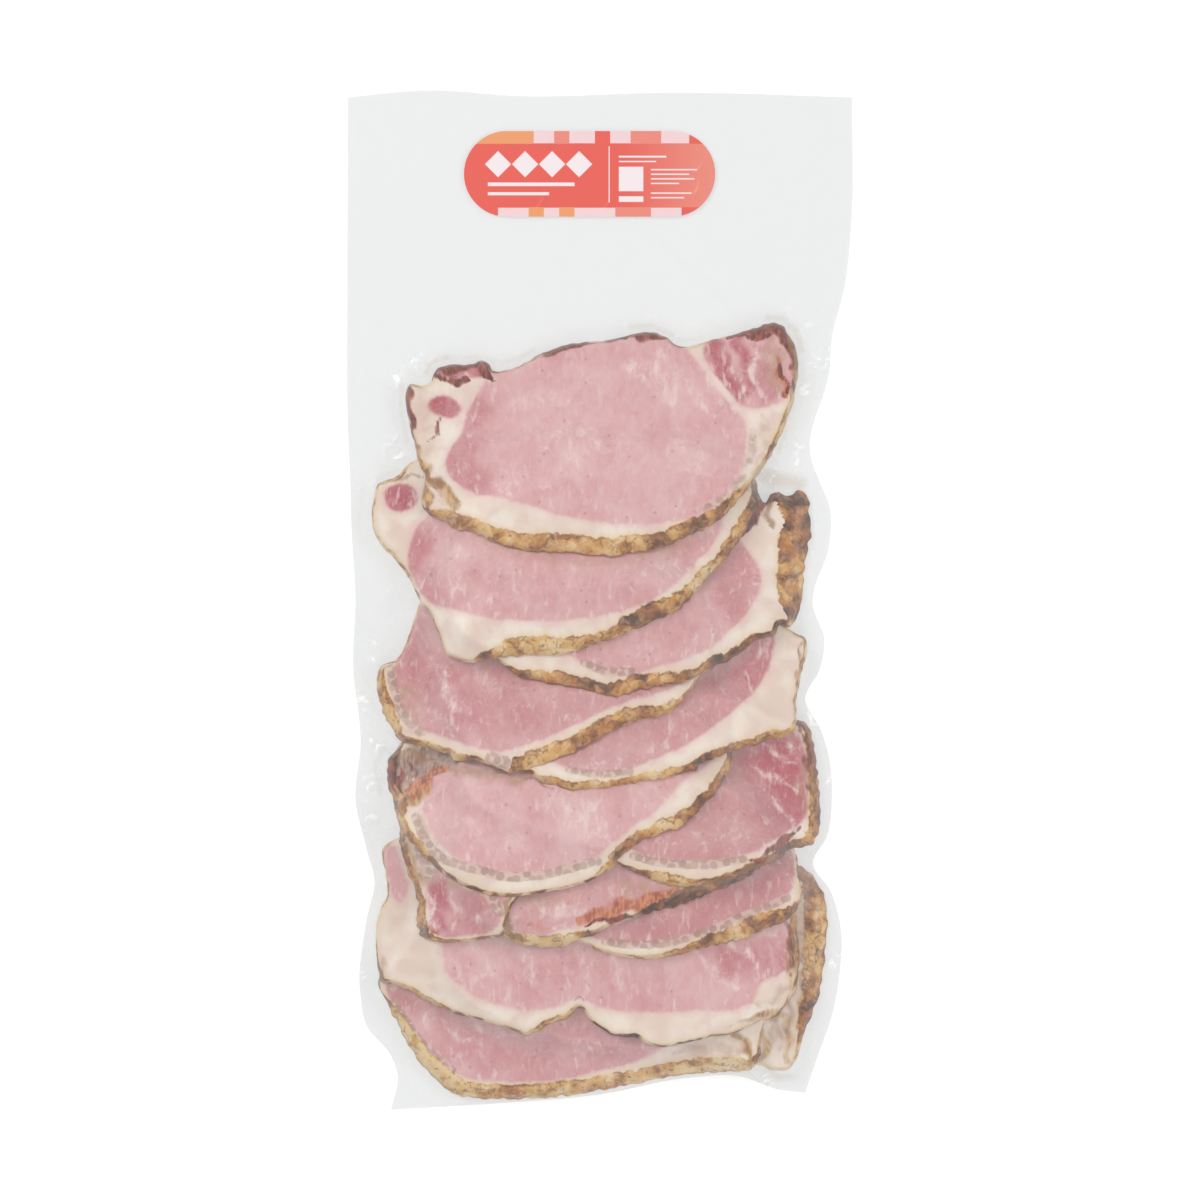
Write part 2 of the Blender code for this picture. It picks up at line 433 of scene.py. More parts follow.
def make_pork_finish():
    """Lean, fat, rind and marks, sorted by the distances that the mesh carries."""
    finish, tree = new_finish("smoked_pork")
    shader = tree.nodes["Principled BSDF"]
    shift = tree.nodes.new("ShaderNodeCombineXYZ")
    for axis in "XYZ":
        plug(tree, reading(tree, "seed"), shift.inputs[axis])
    places = vector_calc(tree, "ADD", object_places(tree), shift.outputs["Vector"])
    clouds = make_clouds(tree, places)

    depth = reading(tree, "lean")
    ripple = calc(tree, "ADD", spread(tree, clouds["middle"], 2.2), spread(tree, clouds["fine"], 0.7))
    lean_edge = calc(tree, "ADD", depth, ripple)
    ragged = calc(tree, "ADD", spread(tree, clouds["small"], 3.4), spread(tree, clouds["fine"], 0.9))
    width = reading(tree, "rind_width")
    inside = calc(tree, "SUBTRACT", width, reading(tree, "rim"))
    rind_edge = calc(tree, "ADD", inside, calc(tree, "MULTIPLY", ragged, step(tree, width, 0.3, 4)))

    colour = fat_colour(tree, clouds, lean_edge, rind_edge)
    pale = reading(tree, "pale")
    lean = lean_colour(tree, clouds, places, depth, reading(tree, "blush"), reading(tree, "red"), pale)
    fibrous = calc(tree, "ADD", lean_edge, spread(tree, clouds["fibre"], 1.6))
    colour = blend_colours(tree, step(tree, fibrous, -0.9, 0.9), colour, lean)
    # Pale marks: whitish fibres, and also a painted sheen of the film over the lean.
    wisps_and_sheen = step(tree, calc(tree, "ADD", clouds["fibre"], calc(tree, "MULTIPLY", pale, 0.16)), 0.56, 0.8)
    wisps_and_sheen = calc(tree, "ADD", calc(tree, "MULTIPLY", wisps_and_sheen, 0.6), 0.22)
    colour = laid_over(tree, colour, MARBLE, wisps_and_sheen, pale)
    # The shade marks: painted shade under the rinds of the slices above, and a smoky brown tinge elsewhere.
    painted_shade_and_tint = calc(tree, "MULTIPLY", reading(tree, "shade"), step(tree, clouds["other"], 0.25, 0.65))
    colour = laid_over(tree, colour, SHADE, painted_shade_and_tint, 0.8)
    colour = jelly_colour(tree, clouds, colour)
    colour = stain(tree, clouds, reading(tree, "tan"), colour, TAN, TAN_DARK)
    colour = stain(tree, clouds, reading(tree, "gold"), colour, GOLD, GOLD_DARK, 1.0, 1.1)
    colour = stain(tree, clouds, reading(tree, "ember"), colour, EMBER, EMBER_DARK, 1.2, 0.9)

    rind = rind_colour(tree, clouds, places, reading(tree, "rim"), rind_edge, reading(tree, "rind_tone"))
    thin = step(tree, width, 2.6, 1.2)
    gaps = calc(tree, "MULTIPLY", step(tree, clouds["middle"], 0.56, 0.42), thin)
    rind_share = calc(tree, "MULTIPLY", step(tree, rind_edge, -0.3, 0.45), calc(tree, "SUBTRACT", 1, gaps))
    colour = blend_colours(tree, rind_share, colour, rind)
    colour = stain(tree, clouds, reading(tree, "smoke"), colour, SMOKE_LIGHT, SMOKE_DARK, 1.4)
    # Thin dark lines: painted shade in folds of the fat, and brown cracks in the crust.
    crease_shade_and_crack_line = calc(tree, "ADD", reading(tree, "crease_shade_and_crack"), spread(tree, clouds["small"], 1.0))
    colour = laid_over(tree, colour, CREASE_SHADE_AND_CRACK, step(tree, crease_shade_and_crack_line, 0.2, 1.0), 0.75)

    tree.links.new(colour, shader.inputs["Base Color"])
    shader.inputs["Roughness"].default_value = 0.5
    crust = calc(tree, "MULTIPLY", clouds["small"], step(tree, inside, -0.6, 0.6))
    relief = calc(tree, "ADD", calc(tree, "MULTIPLY", crust, 1.4), clouds["fibre"])
    bump = tree.nodes.new("ShaderNodeBump")
    tree.links.new(relief, bump.inputs["Height"])
    bump.inputs["Strength"].default_value = 0.55
    bump.inputs["Distance"].default_value = 0.3 * MM
    tree.links.new(bump.outputs["Normal"], shader.inputs["Normal"])
    return finish


PORK = make_pork_finish()
print("the meat's finish has", len(PORK.node_tree.nodes), "nodes")

# %% [markdown]
# ## Lines and distances
# The outlines are drawn with as few points as they need, in millimetres. A smooth closed curve runs
# through them. Two measures are taken from a curve: the distance to it, and whether a point is inside.

# %% Curves and distances


def walk(line):
    """How far along a line each of its points is."""
    return np.concatenate([[0], np.cumsum(np.linalg.norm(np.diff(line[:, :2], axis=0), axis=1))])


def smooth_closed(points, count):
    """Evenly spaced points on a smooth closed curve. Further columns, such as a width, ride along."""
    points = np.array(points, float)
    before, after = np.roll(points, 1, axis=0), np.roll(points, -1, axis=0)
    chord = np.linalg.norm((after - points)[:, :2], axis=1)
    slope = (after - before) / (np.roll(chord, 1) + chord)[:, None]
    share = np.linspace(0, 1, 12, endpoint=False)[None, :, None]
    length = chord[:, None, None]
    start, end = points[:, None, :], after[:, None, :]
    leave, arrive = slope[:, None, :] * length, np.roll(slope, -1, axis=0)[:, None, :] * length
    dense = (
        (2 * share**3 - 3 * share**2 + 1) * start
        + (share**3 - 2 * share**2 + share) * leave
        + (3 * share**2 - 2 * share**3) * end
        + (share**3 - share**2) * arrive
    ).reshape(-1, points.shape[1])
    dense = np.vstack([dense, dense[:1]])
    walked = walk(dense)
    stops = np.linspace(0, walked[-1], count, endpoint=False)
    return np.stack([np.interp(stops, walked, column) for column in dense.T], axis=1)


def nearest(x, y, line, closed=True):
    """The distance from each point to a line, and the number of the line's nearest stretch."""
    start = line[:, :2] if closed else line[:-1, :2]
    end = np.roll(line[:, :2], -1, axis=0) if closed else line[1:, :2]
    run = end - start
    length = np.maximum((run**2).sum(1), 1e-9)
    best = np.full(x.shape, np.inf)
    which = np.zeros(x.shape, int)
    for number in range(len(start)):
        dx, dy = x - start[number, 0], y - start[number, 1]
        share = np.clip((dx * run[number, 0] + dy * run[number, 1]) / length[number], 0, 1)
        away = (dx - share * run[number, 0]) ** 2 + (dy - share * run[number, 1]) ** 2
        closer = away < best
        best = np.where(closer, away, best)
        which = np.where(closer, number, which)
    return np.sqrt(best), which


def is_inside(x, y, line):
    """Whether each point is inside a closed line."""
    inside = np.zeros(x.shape, bool)
    ends = np.roll(line, -1, axis=0)
    for (x0, y0), (x1, y1) in zip(line[:, :2], ends[:, :2]):
        if y0 != y1:
            crosses = (y0 > y) != (y1 > y)
            inside ^= crosses & (x < (x1 - x0) * (y - y0) / (y1 - y0) + x0)
    return inside


def depth_inside(x, y, line):
    """How far inside a closed line each point is: below 0 when it is outside."""
    away, _ = nearest(x, y, line)
    return np.where(is_inside(x, y, line), away, -away)


def ease(share):
    """Rises smoothly from 0 to 1."""
    share = np.clip(share, 0, 1)
    return share * share * (3 - 2 * share)


def oval(x, y, wide, high, turn=0):
    """An oval's outline."""
    angles = np.radians(np.arange(0, 360, 30))
    lean = math.radians(turn)
    along, across = wide * np.cos(angles), high * np.sin(angles)
    return np.stack([x + along * math.cos(lean) - across * math.sin(lean),
                     y + along * math.sin(lean) + across * math.cos(lean)], axis=1)


NOWHERE = np.zeros(1)
print("a test oval's middle is", depth_inside(NOWHERE, NOWHERE, oval(0, 0, 9, 5)).round(1), "mm deep")

# %% [markdown]
# ## The slices
# Each slice is a cut through the whole loin, so all have the same parts: a rind with smoke on it round the
# outside, cream fat, and lean. In the pack they are shingled, so each one hides most of the next. A slice's
# outline has rows of X, Y, how wide the rind looks from above, and how dark it is from 0, gold, to 1, almost
# black. The lean is one or more closed lines. A mark is painted along a line with a strength and a width.
# The list starts at the bottom of the pile.

# %% Slices at the foot of the pack
SLICES = {}
SLICES["foot_right"] = dict(
    blush=0.3,
    middle=(12, -137),
    outline=[
        (-60, -110, 1, 0.4), (-30, -97, 1, 0.4), (10, -93, 1, 0.4), (50, -96, 1, 0.4), (78, -104, 3, 0.5),
        (86, -112, 7, 0.55), (89, -122, 9, 0.4), (88.5, -136, 9, 0.35), (87, -149, 8, 0.35),
        (85, -158, 6, 0.6), (81.5, -166, 5, 0.7), (79.5, -172, 2.5, 0.4), (77, -180, 1.5, 0.25),
        (74, -184, 1, 0.2), (68, -184.5, 1, 0.2), (62, -182.5, 1, 0.2), (40, -178, 1, 0.3),
        (0, -175, 1, 0.3), (-30, -168, 1, 0.3), (-55, -155, 1, 0.3), (-66, -135, 1, 0.3),
    ],
    lean=[[(-50, -112), (0, -102), (50, -104), (66, -118), (64, -140), (40, -152), (0, -155), (-45, -145)]],
    marks=[
        ("ember", 0.9, 2.5, [(80, -110), (83, -113)]),
        ("shade", 0.9, 5, [(80, -116), (79, -128), (78, -140)]),
        ("ember", 0.8, 2.6, [(80, -157), (79.5, -163), (78, -168)]),
        ("gold", 0.9, 2.2, [(81, -140), (80, -150), (79, -160)]),
        ("shade", 0.8, 1.6, [(76, -150), (74, -158), (75, -166)]),
        ("shade", 0.7, 1.6, [(66, -160), (70, -168), (71, -176)]),
        ("crease_shade_and_crack", 0.8, 1.1, [(75, -139), (81, -144), (89, -148)]),
        ("crease_shade_and_crack", 0.5, 1.1, [(76, -150), (74, -160), (73, -170)]),
        ("gold", 0.9, 2.6, [(63, -161), (67, -164), (71, -162)]),
        ("gold", 0.8, 2.2, [(64, -168), (65, -174), (64, -180)]),
        ("gold", 0.6, 1.8, [(73, -162), (74, -171), (73, -180)]),
        ("crease_shade_and_crack", 0.6, 1.1, [(67, -164), (68, -172), (66, -179)]),
        ("pale", 0.8, 1.8, [(69, -160), (71, -168), (70, -180)]),
        ("crease_shade_and_crack", 0.7, 0.7, [(78, -122), (84, -121), (90, -122)]),
        ("crease_shade_and_crack", 0.7, 0.7, [(77, -131), (83, -133), (90, -132)]),
        ("ember", 0.6, 1.6, [(84, -122), (85, -134), (83, -146)]),
        ("pale", 0.8, 1.6, [(72, -152), (72, -162), (69, -172)]),
    ],
)
SLICES["foot"] = dict(
    blush=0.2,
    middle=(-10, -155),
    outline=[
        (-87, -150.5, 1, 0.6), (-84, -157, 1.5, 0.6), (-80, -165, 4, 0.2), (-76, -173, 5, 0.15),
        (-71, -181, 6, 0.15), (-65, -187.5, 7, 0.2), (-60, -192, 7, 0.2), (-55, -194.5, 6.5, 0.15),
        (-47, -195.5, 6, 0.2), (-35, -195.8, 6, 0.4), (-20.6, -195.2, 6, 0.35), (-10.8, -194.2, 6, 0.3),
        (0, -192.3, 6, 0.2), (13.7, -189.8, 5.5, 0.3), (28.5, -186.8, 6, 0.3), (43.2, -185.3, 6.5, 0.2),
        (55, -184.8, 6, 0.25), (60.5, -183, 4, 0.5), (62.5, -178.5, 2, 0.7), (63, -172, 1, 0.5),
        (66, -155, 1, 0.4), (60, -135, 1, 0.4), (40, -122, 1, 0.4), (0, -116, 1, 0.4), (-40, -118, 1, 0.4),
        (-70, -128, 1, 0.4), (-82, -140, 1, 0.4),
    ],
    lean=[[
        (-84, -152), (-80, -160), (-74.5, -168), (-70, -174), (-64, -180.5), (-58, -185), (-52, -187.3),
        (-45, -188.5), (-30, -188.8), (-15.7, -187.8), (-1, -184.7), (13.7, -180.8), (22, -177), (26, -173),
        (24, -160), (10, -140), (-20, -125), (-60, -130), (-80, -142),
    ]],
    marks=[
        ("red", 0.3, 14, [(-45, -170), (-20, -176), (5, -175)]),
        ("jelly", 0.8, 1.9, [(-80.5, -158), (-76, -165), (-71, -172), (-65, -179), (-58, -184)]),
        ("red", 0.35, 5, [(-82, -153), (-70, -158), (-55, -164)]),
        ("shade", 0.6, 3, [(30, -176), (45, -175.5), (56, -176)]),
        ("gold", 0.9, 2.4, [(52, -169), (56, -173), (59, -179)]),
        ("crease_shade_and_crack", 0.7, 1.1, [(50, -168), (55, -172), (59, -178), (58, -184)]),
        ("pale", 0.8, 1.6, [(-62, -164), (-54, -172), (-46, -174)]),
        ("pale", 0.7, 1.6, [(-50, -164), (-42, -170), (-32, -170)]),
        ("pale", 0.7, 3, [(-14, -172), (0, -176)]),
        ("pale", 0.5, 3, [(-70, -158), (-66, -166)]),
    ],
)
SLICES["two_lobed"] = dict(
    blush=0.04,
    middle=(0, -130),
    outline=[
        (-84, -96, 1, 0.4), (-85.5, -100, 1, 0.4), (-84, -108, 0.8, 0.4), (-83.4, -115, 0.8, 0.4),
        (-86, -121, 0.8, 0.4), (-87.8, -128, 0.8, 0.4), (-88, -135, 0.8, 0.5), (-87.5, -141, 1, 0.6),
        (-86.8, -146, 2, 0.6), (-85.4, -149.6, 2, 0.6), (-81.5, -150, 1.6, 0.5), (-75.6, -152.5, 2.2, 0.3),
        (-68.7, -156.3, 2.2, 0.3), (-61.8, -159.8, 2, 0.45), (-55, -162.2, 1.5, 0.8), (-45, -164.8, 1.3, 0.8),
        (-35, -167.8, 1.4, 0.6), (-29, -170.3, 1.8, 0.4), (-23.6, -168, 2.4, 0.4), (-17.7, -165, 2.4, 0.5),
        (-11.8, -162.6, 2.2, 0.35), (-7.9, -159.3, 1.5, 0.7), (-4.9, -163, 1.2, 0.8), (0, -167, 1.2, 0.8),
        (4.9, -169.9, 1.3, 0.85), (13.7, -171, 2, 0.95), (18, -173.2, 1.2, 0.8), (24.5, -174.5, 1, 0.7),
        (33.4, -173, 1.2, 0.9), (43.2, -170.6, 1, 0.6), (51, -169.6, 0.8, 0.5), (57, -167, 0.8, 0.3),
        (63, -164, 1, 0.4), (69, -163, 1.5, 0.6), (73, -158, 1, 0.3), (77, -150, 1.5, 0.6),
        (78, -140, 2.5, 0.5), (77, -128, 3, 0.5), (76, -118, 2, 0.5), (70, -105, 1, 0.4), (50, -95, 1, 0.4),
        (10, -90, 1, 0.4), (-40, -88, 1, 0.4), (-70, -90, 1, 0.4),
    ],
    lean=[
        [(-84, -97), (-80, -96), (-77, -105), (-75, -113), (-78, -118), (-81, -116), (-83, -110)],
        [
            (-61, -136), (-61, -144), (-58, -148), (-53, -152), (-47, -155), (-39, -158), (-30, -160),
            (-22, -159.5), (-14, -157.3), (-8, -155.6), (-1, -158), (9, -160.3), (24, -160.7), (38, -159.8),
            (50, -159.8), (58, -157.5), (61, -153), (63, -149), (70, -146), (74, -143), (74, -130),
            (73, -120), (60, -105), (0, -98), (-50, -105), (-62, -120),
        ],
    ],
    marks=[
        ("smoke", 0.5, 2.5, [(74.5, -146), (75, -135), (73, -124)]),
        ("red", 0.6, 8, [(52, -140), (62, -139), (70, -141)]),
        ("red", 0.2, 9, [(-30, -148), (-10, -146), (20, -150)]),
        ("shade", 0.9, 2, [(-86, -140), (-85, -148)]),
        ("pale", 0.9, 3, [(-52, -132), (-46, -140), (-40, -148)]),
        ("pale", 0.8, 2.5, [(-30, -136), (-26, -150)]),
        ("pale", 0.8, 2.5, [(-8, -134), (-4, -150)]),
        ("pale", 0.7, 2.5, [(6, -138), (8, -152)]),
        ("pale", 0.9, 1.6, [(38, -136), (44, -146), (54, -152)]),
        ("pale", 0.9, 1.6, [(48, -132), (58, -138), (62, -148)]),
        ("pale", 0.8, 1.4, [(60, -128), (70, -134), (74, -140)]),
        ("pale", 0.6, 4, [(-60, -148), (-52, -153)]),
        ("shade", 0.7, 1.6, [(56, -165), (66, -160), (73, -150)]),
        ("gold", 0.9, 2.2, [(61, -161.5), (66, -161), (70, -163)]),
        ("crease_shade_and_crack", 0.6, 1.1, [(50, -166), (58, -163.5), (64, -160)]),
        ("gold", 0.6, 2.6, [(74, -150), (75, -140), (75, -128)]),
        ("shade", 0.5, 1.2, [(60, -158), (68, -156), (70, -150)]),
    ],
)

# %% Slices above the foot
SLICES["low_right"] = dict(
    blush=0.7,
    middle=(10, -104),
    outline=[
        (-8, -133.2, 1.2, 0.5), (0, -136.8, 1.5, 0.4), (8, -139, 1.6, 0.35), (16.7, -140, 1.8, 0.3),
        (24, -139.6, 2.2, 0.3), (32.4, -137.8, 2.8, 0.35), (40, -135.5, 4.5, 0.5), (47, -134, 5, 0.45),
        (55, -132.4, 6, 0.4), (62.8, -129, 6.5, 0.5), (72.6, -125.3, 5.5, 0.6), (77.5, -120, 2.5, 0.7),
        (78.5, -116, 1.2, 0.6), (78, -108, 1, 0.6), (77, -100, 1, 0.5), (70, -85, 1, 0.4), (50, -72, 1, 0.4),
        (15, -68, 1, 0.4), (-25, -72, 1, 0.4), (-50, -85, 1, 0.4), (-60, -105, 1, 0.4), (-50, -122, 1, 0.4),
        (-25, -130, 1, 0.4),
    ],
    lean=[[
        (-2, -131.5), (5, -133), (15, -134), (25, -133.6), (34, -131.8), (43, -128.5), (52, -125), (61, -122),
        (70, -118), (74, -114), (76, -108), (75, -98), (60, -82), (10, -78), (-30, -85), (-45, -105),
        (-25, -122), (-8, -128),
    ]],
    marks=[
        ("jelly", 1.0, 1.6, [(2, -132.8), (12, -134.2), (24, -133.8), (34, -131.6), (44, -128), (55, -123.5),
                             (66, -119.3), (73, -116)]),
        ("red", 0.3, 10, [(20, -126), (50, -116), (68, -106)]),
        ("pale", 0.4, 4, [(20, -124), (34, -122)]),
    ],
)
SLICES["low_middle"] = dict(
    blush=0.5,
    middle=(2, -98),
    outline=[
        (-40, -130, 2, 0.6), (-36, -132, 3, 0.35), (-31.4, -134, 4.5, 0.1), (-23.6, -135.2, 5, 0.05),
        (-15, -135, 5, 0.1), (-9.5, -132.5, 3.5, 0.3), (-2, -130.2, 2, 0.8), (4, -127, 1.5, 0.95),
        (13.7, -124, 2, 1), (21.6, -121, 3, 1), (29.4, -119.2, 5, 0.95), (37.3, -116.3, 6, 0.9),
        (45, -113.3, 6, 0.9), (53, -110.3, 4, 0.9), (60, -106, 3, 0.8), (66, -100, 1, 0.5), (66, -88, 1, 0.4),
        (50, -72, 1, 0.4), (20, -62, 1, 0.4), (-20, -64, 1, 0.4), (-50, -76, 1, 0.4), (-58, -95, 1, 0.4),
        (-50, -115, 1, 0.4), (-42, -125, 1, 0.4),
    ],
    lean=[[
        (-36, -127.5), (-30, -130), (-24, -131), (-17, -129), (-10, -127.5), (-3, -126), (4, -123.5),
        (14, -119.5), (22, -115.5), (32, -111), (44, -106), (55, -98), (50, -80), (10, -70), (-30, -75),
        (-48, -95), (-44, -112), (-39, -122),
    ]],
    marks=[
        ("ember", 0.9, 3.2, [(-7, -124), (4, -120.5), (12, -118.5), (20, -117), (30, -113)]),
        ("pale", 0.9, 1.0, [(9.5, -110), (10, -116), (9.5, -122)]),
        ("smoke", 0.9, 1.2, [(-6, -127), (1, -124.5), (6, -124), (14, -123)]),
        ("crease_shade_and_crack", 0.8, 2.0, [(26, -116), (34, -112), (44, -109), (52, -106)]),
        ("jelly", 0.8, 3, [(-42, -118), (-38, -122), (-36, -127)]),
        ("shade", 0.8, 3, [(6, -108), (12, -113), (26, -112)]),
        ("shade", 0.7, 2.5, [(-40, -117), (-28, -117), (-14, -116)]),
        ("pale", 0.8, 3, [(-26, -118), (-16, -122), (-6, -120)]),
        ("pale", 1.0, 2.4, [(-18, -128), (-11, -129)]),
        ("ember", 0.5, 2.0, [(-28, -127), (-20, -127)]),
        ("crease_shade_and_crack", 1.0, 1.1, [(-44, -114), (-39, -120), (-36, -125), (-31, -131)]),
        ("crease_shade_and_crack", 0.9, 0.9, [(-42, -130), (-37, -127), (-32, -132), (-27, -134)]),
        ("crease_shade_and_crack", 0.8, 0.8, [(-48, -113), (-40, -115), (-34, -114)]),
    ],
)
SLICES["low_left"] = dict(
    blush=0.7,
    middle=(-30, -98),
    outline=[
        (-78.5, -92, 3, 0.7), (-78, -97, 2.6, 0.75), (-76.5, -102, 2.5, 0.6), (-75, -107, 2.5, 0.4),
        (-72.5, -112.5, 2.5, 0.5), (-71.3, -119, 3.2, 0.65), (-71.6, -126, 4, 0.6), (-69.7, -131, 4, 0.6),
        (-64.8, -133, 2.2, 0.5), (-58, -133.5, 1.5, 0.5), (-51, -133, 1.5, 0.4), (-43, -131.8, 1.5, 0.5),
        (-38, -130.5, 1.5, 0.6), (-36, -124, 1.2, 0.6), (-33, -117, 1, 0.6), (-25, -110, 1, 0.5),
        (0, -98, 1, 0.4), (20, -84, 1, 0.4), (10, -68, 1, 0.4), (-30, -62, 1, 0.4), (-65, -68, 1, 0.4),
        (-78, -80, 2, 0.5),
    ],
    lean=[[
        (-68, -113), (-67, -120), (-66.5, -127), (-63, -130.5), (-57, -131.3), (-50, -130.5), (-43, -129.5),
        (-39, -126), (-38, -118), (-30, -112), (-10, -98), (0, -80), (-20, -72), (-55, -90), (-64, -104),
    ]],
    marks=[
        ("shade", 1.0, 7, [(-73, -96), (-70, -104), (-66, -109)]),
        ("jelly", 0.8, 2.2, [(-72, -95), (-69, -101), (-67, -107)]),
        ("gold", 0.7, 2, [(-75, -93), (-74, -101), (-70, -110)]),
        ("ember", 0.9, 1.2, [(-70.5, -112), (-69.8, -120), (-68, -127), (-63, -131)]),
        ("pale", 0.9, 1.6, [(-67, -114), (-66, -122), (-62, -130)]),
        ("pale", 0.7, 3, [(-58, -113), (-54, -122)]),
        ("pale", 0.7, 1.6, [(-50, -126), (-42, -120)]),
        ("red", 0.9, 3.5, [(-62.5, -113), (-63, -126)]),
        ("red", 0.35, 5, [(-50, -115), (-48, -126)]),
        ("jelly", 0.7, 2.4, [(-52, -110), (-44, -113), (-39, -121)]),
        ("shade", 0.9, 3, [(-60, -108), (-48, -113), (-38, -116)]),
        ("crease_shade_and_crack", 1.0, 1, [(-33, -113), (-36, -118), (-37, -124), (-35, -131)]),
    ],
)

# %% Slices in the middle of the pack
SLICES["middle_right"] = dict(
    blush=0.75,
    middle=(14, -72),
    outline=[
        (74, -48.5, 1, 0.5), (78, -47, 2, 0.6), (81.5, -49.3, 2.5, 0.7), (83.5, -55, 3, 0.7),
        (85, -65, 3.5, 0.65), (86, -75, 4, 0.6), (86.4, -84.6, 4.5, 0.6), (86, -90, 5, 0.55),
        (83.5, -95.5, 5, 0.5), (79, -97, 3.5, 0.7), (74, -97.5, 3.5, 0.9), (70.7, -100.5, 3.2, 1),
        (62.8, -103.8, 3.2, 0.95), (55.9, -106.6, 2.6, 0.8), (49, -108.5, 2.2, 0.6), (43.2, -110, 2, 0.5),
        (35.3, -111.5, 3.2, 0.25), (27.5, -111, 4.2, 0.15), (20.6, -108.8, 3.5, 0.25), (13.7, -106, 2, 0.5),
        (8, -103.3, 1.2, 0.6), (2, -100, 1, 0.5), (-20, -92, 1, 0.4), (-50, -80, 1, 0.4), (-55, -60, 1, 0.4),
        (-35, -42, 1, 0.4), (0, -33, 1, 0.4), (40, -35, 1, 0.4), (65, -42, 1, 0.4),
    ],
    lean=[[
        (12, -97), (17, -99.5), (24, -101), (33, -101.8), (43, -101.6), (53, -100), (60, -98), (67, -94.5),
        (73, -91), (78, -88), (81, -82), (81, -70), (80, -58), (77, -52), (70, -50), (50, -48), (20, -55),
        (0, -70), (-5, -85),
    ]],
    marks=[
        ("jelly", 1.0, 1.6, [(13, -99.5), (22, -102), (34, -103), (46, -102.7), (56, -100.6)]),
        ("red", 0.9, 9, [(68, -58), (72, -70), (75, -82)]),
        ("red", 0.5, 8, [(60, -62), (66, -76), (70, -88)]),
        ("smoke", 0.7, 2.5, [(79, -50), (82, -60), (83, -78)]),
        ("smoke", 0.9, 1.6, [(58, -102), (66, -98.5), (72, -94), (78, -88)]),
        ("crease_shade_and_crack", 0.9, 1.6, [(52, -107), (60, -104), (68, -101), (75, -97.5)]),
        ("shade", 0.7, 3, [(79, -66), (81, -85)]),
        ("pale", 1.0, 1.2, [(62, -54), (68, -60), (76, -64)]),
        ("pale", 1.0, 1.2, [(58, -64), (68, -70), (78, -74)]),
        ("pale", 0.9, 1.2, [(72, -52), (77, -60)]),
        ("pale", 0.9, 1.3, [(66, -78), (74, -84), (76, -90)]),
        ("pale", 0.6, 3, [(40, -72), (38, -84)]),
        ("pale", 0.5, 3, [(54, -84), (52, -94)]),
    ],
)
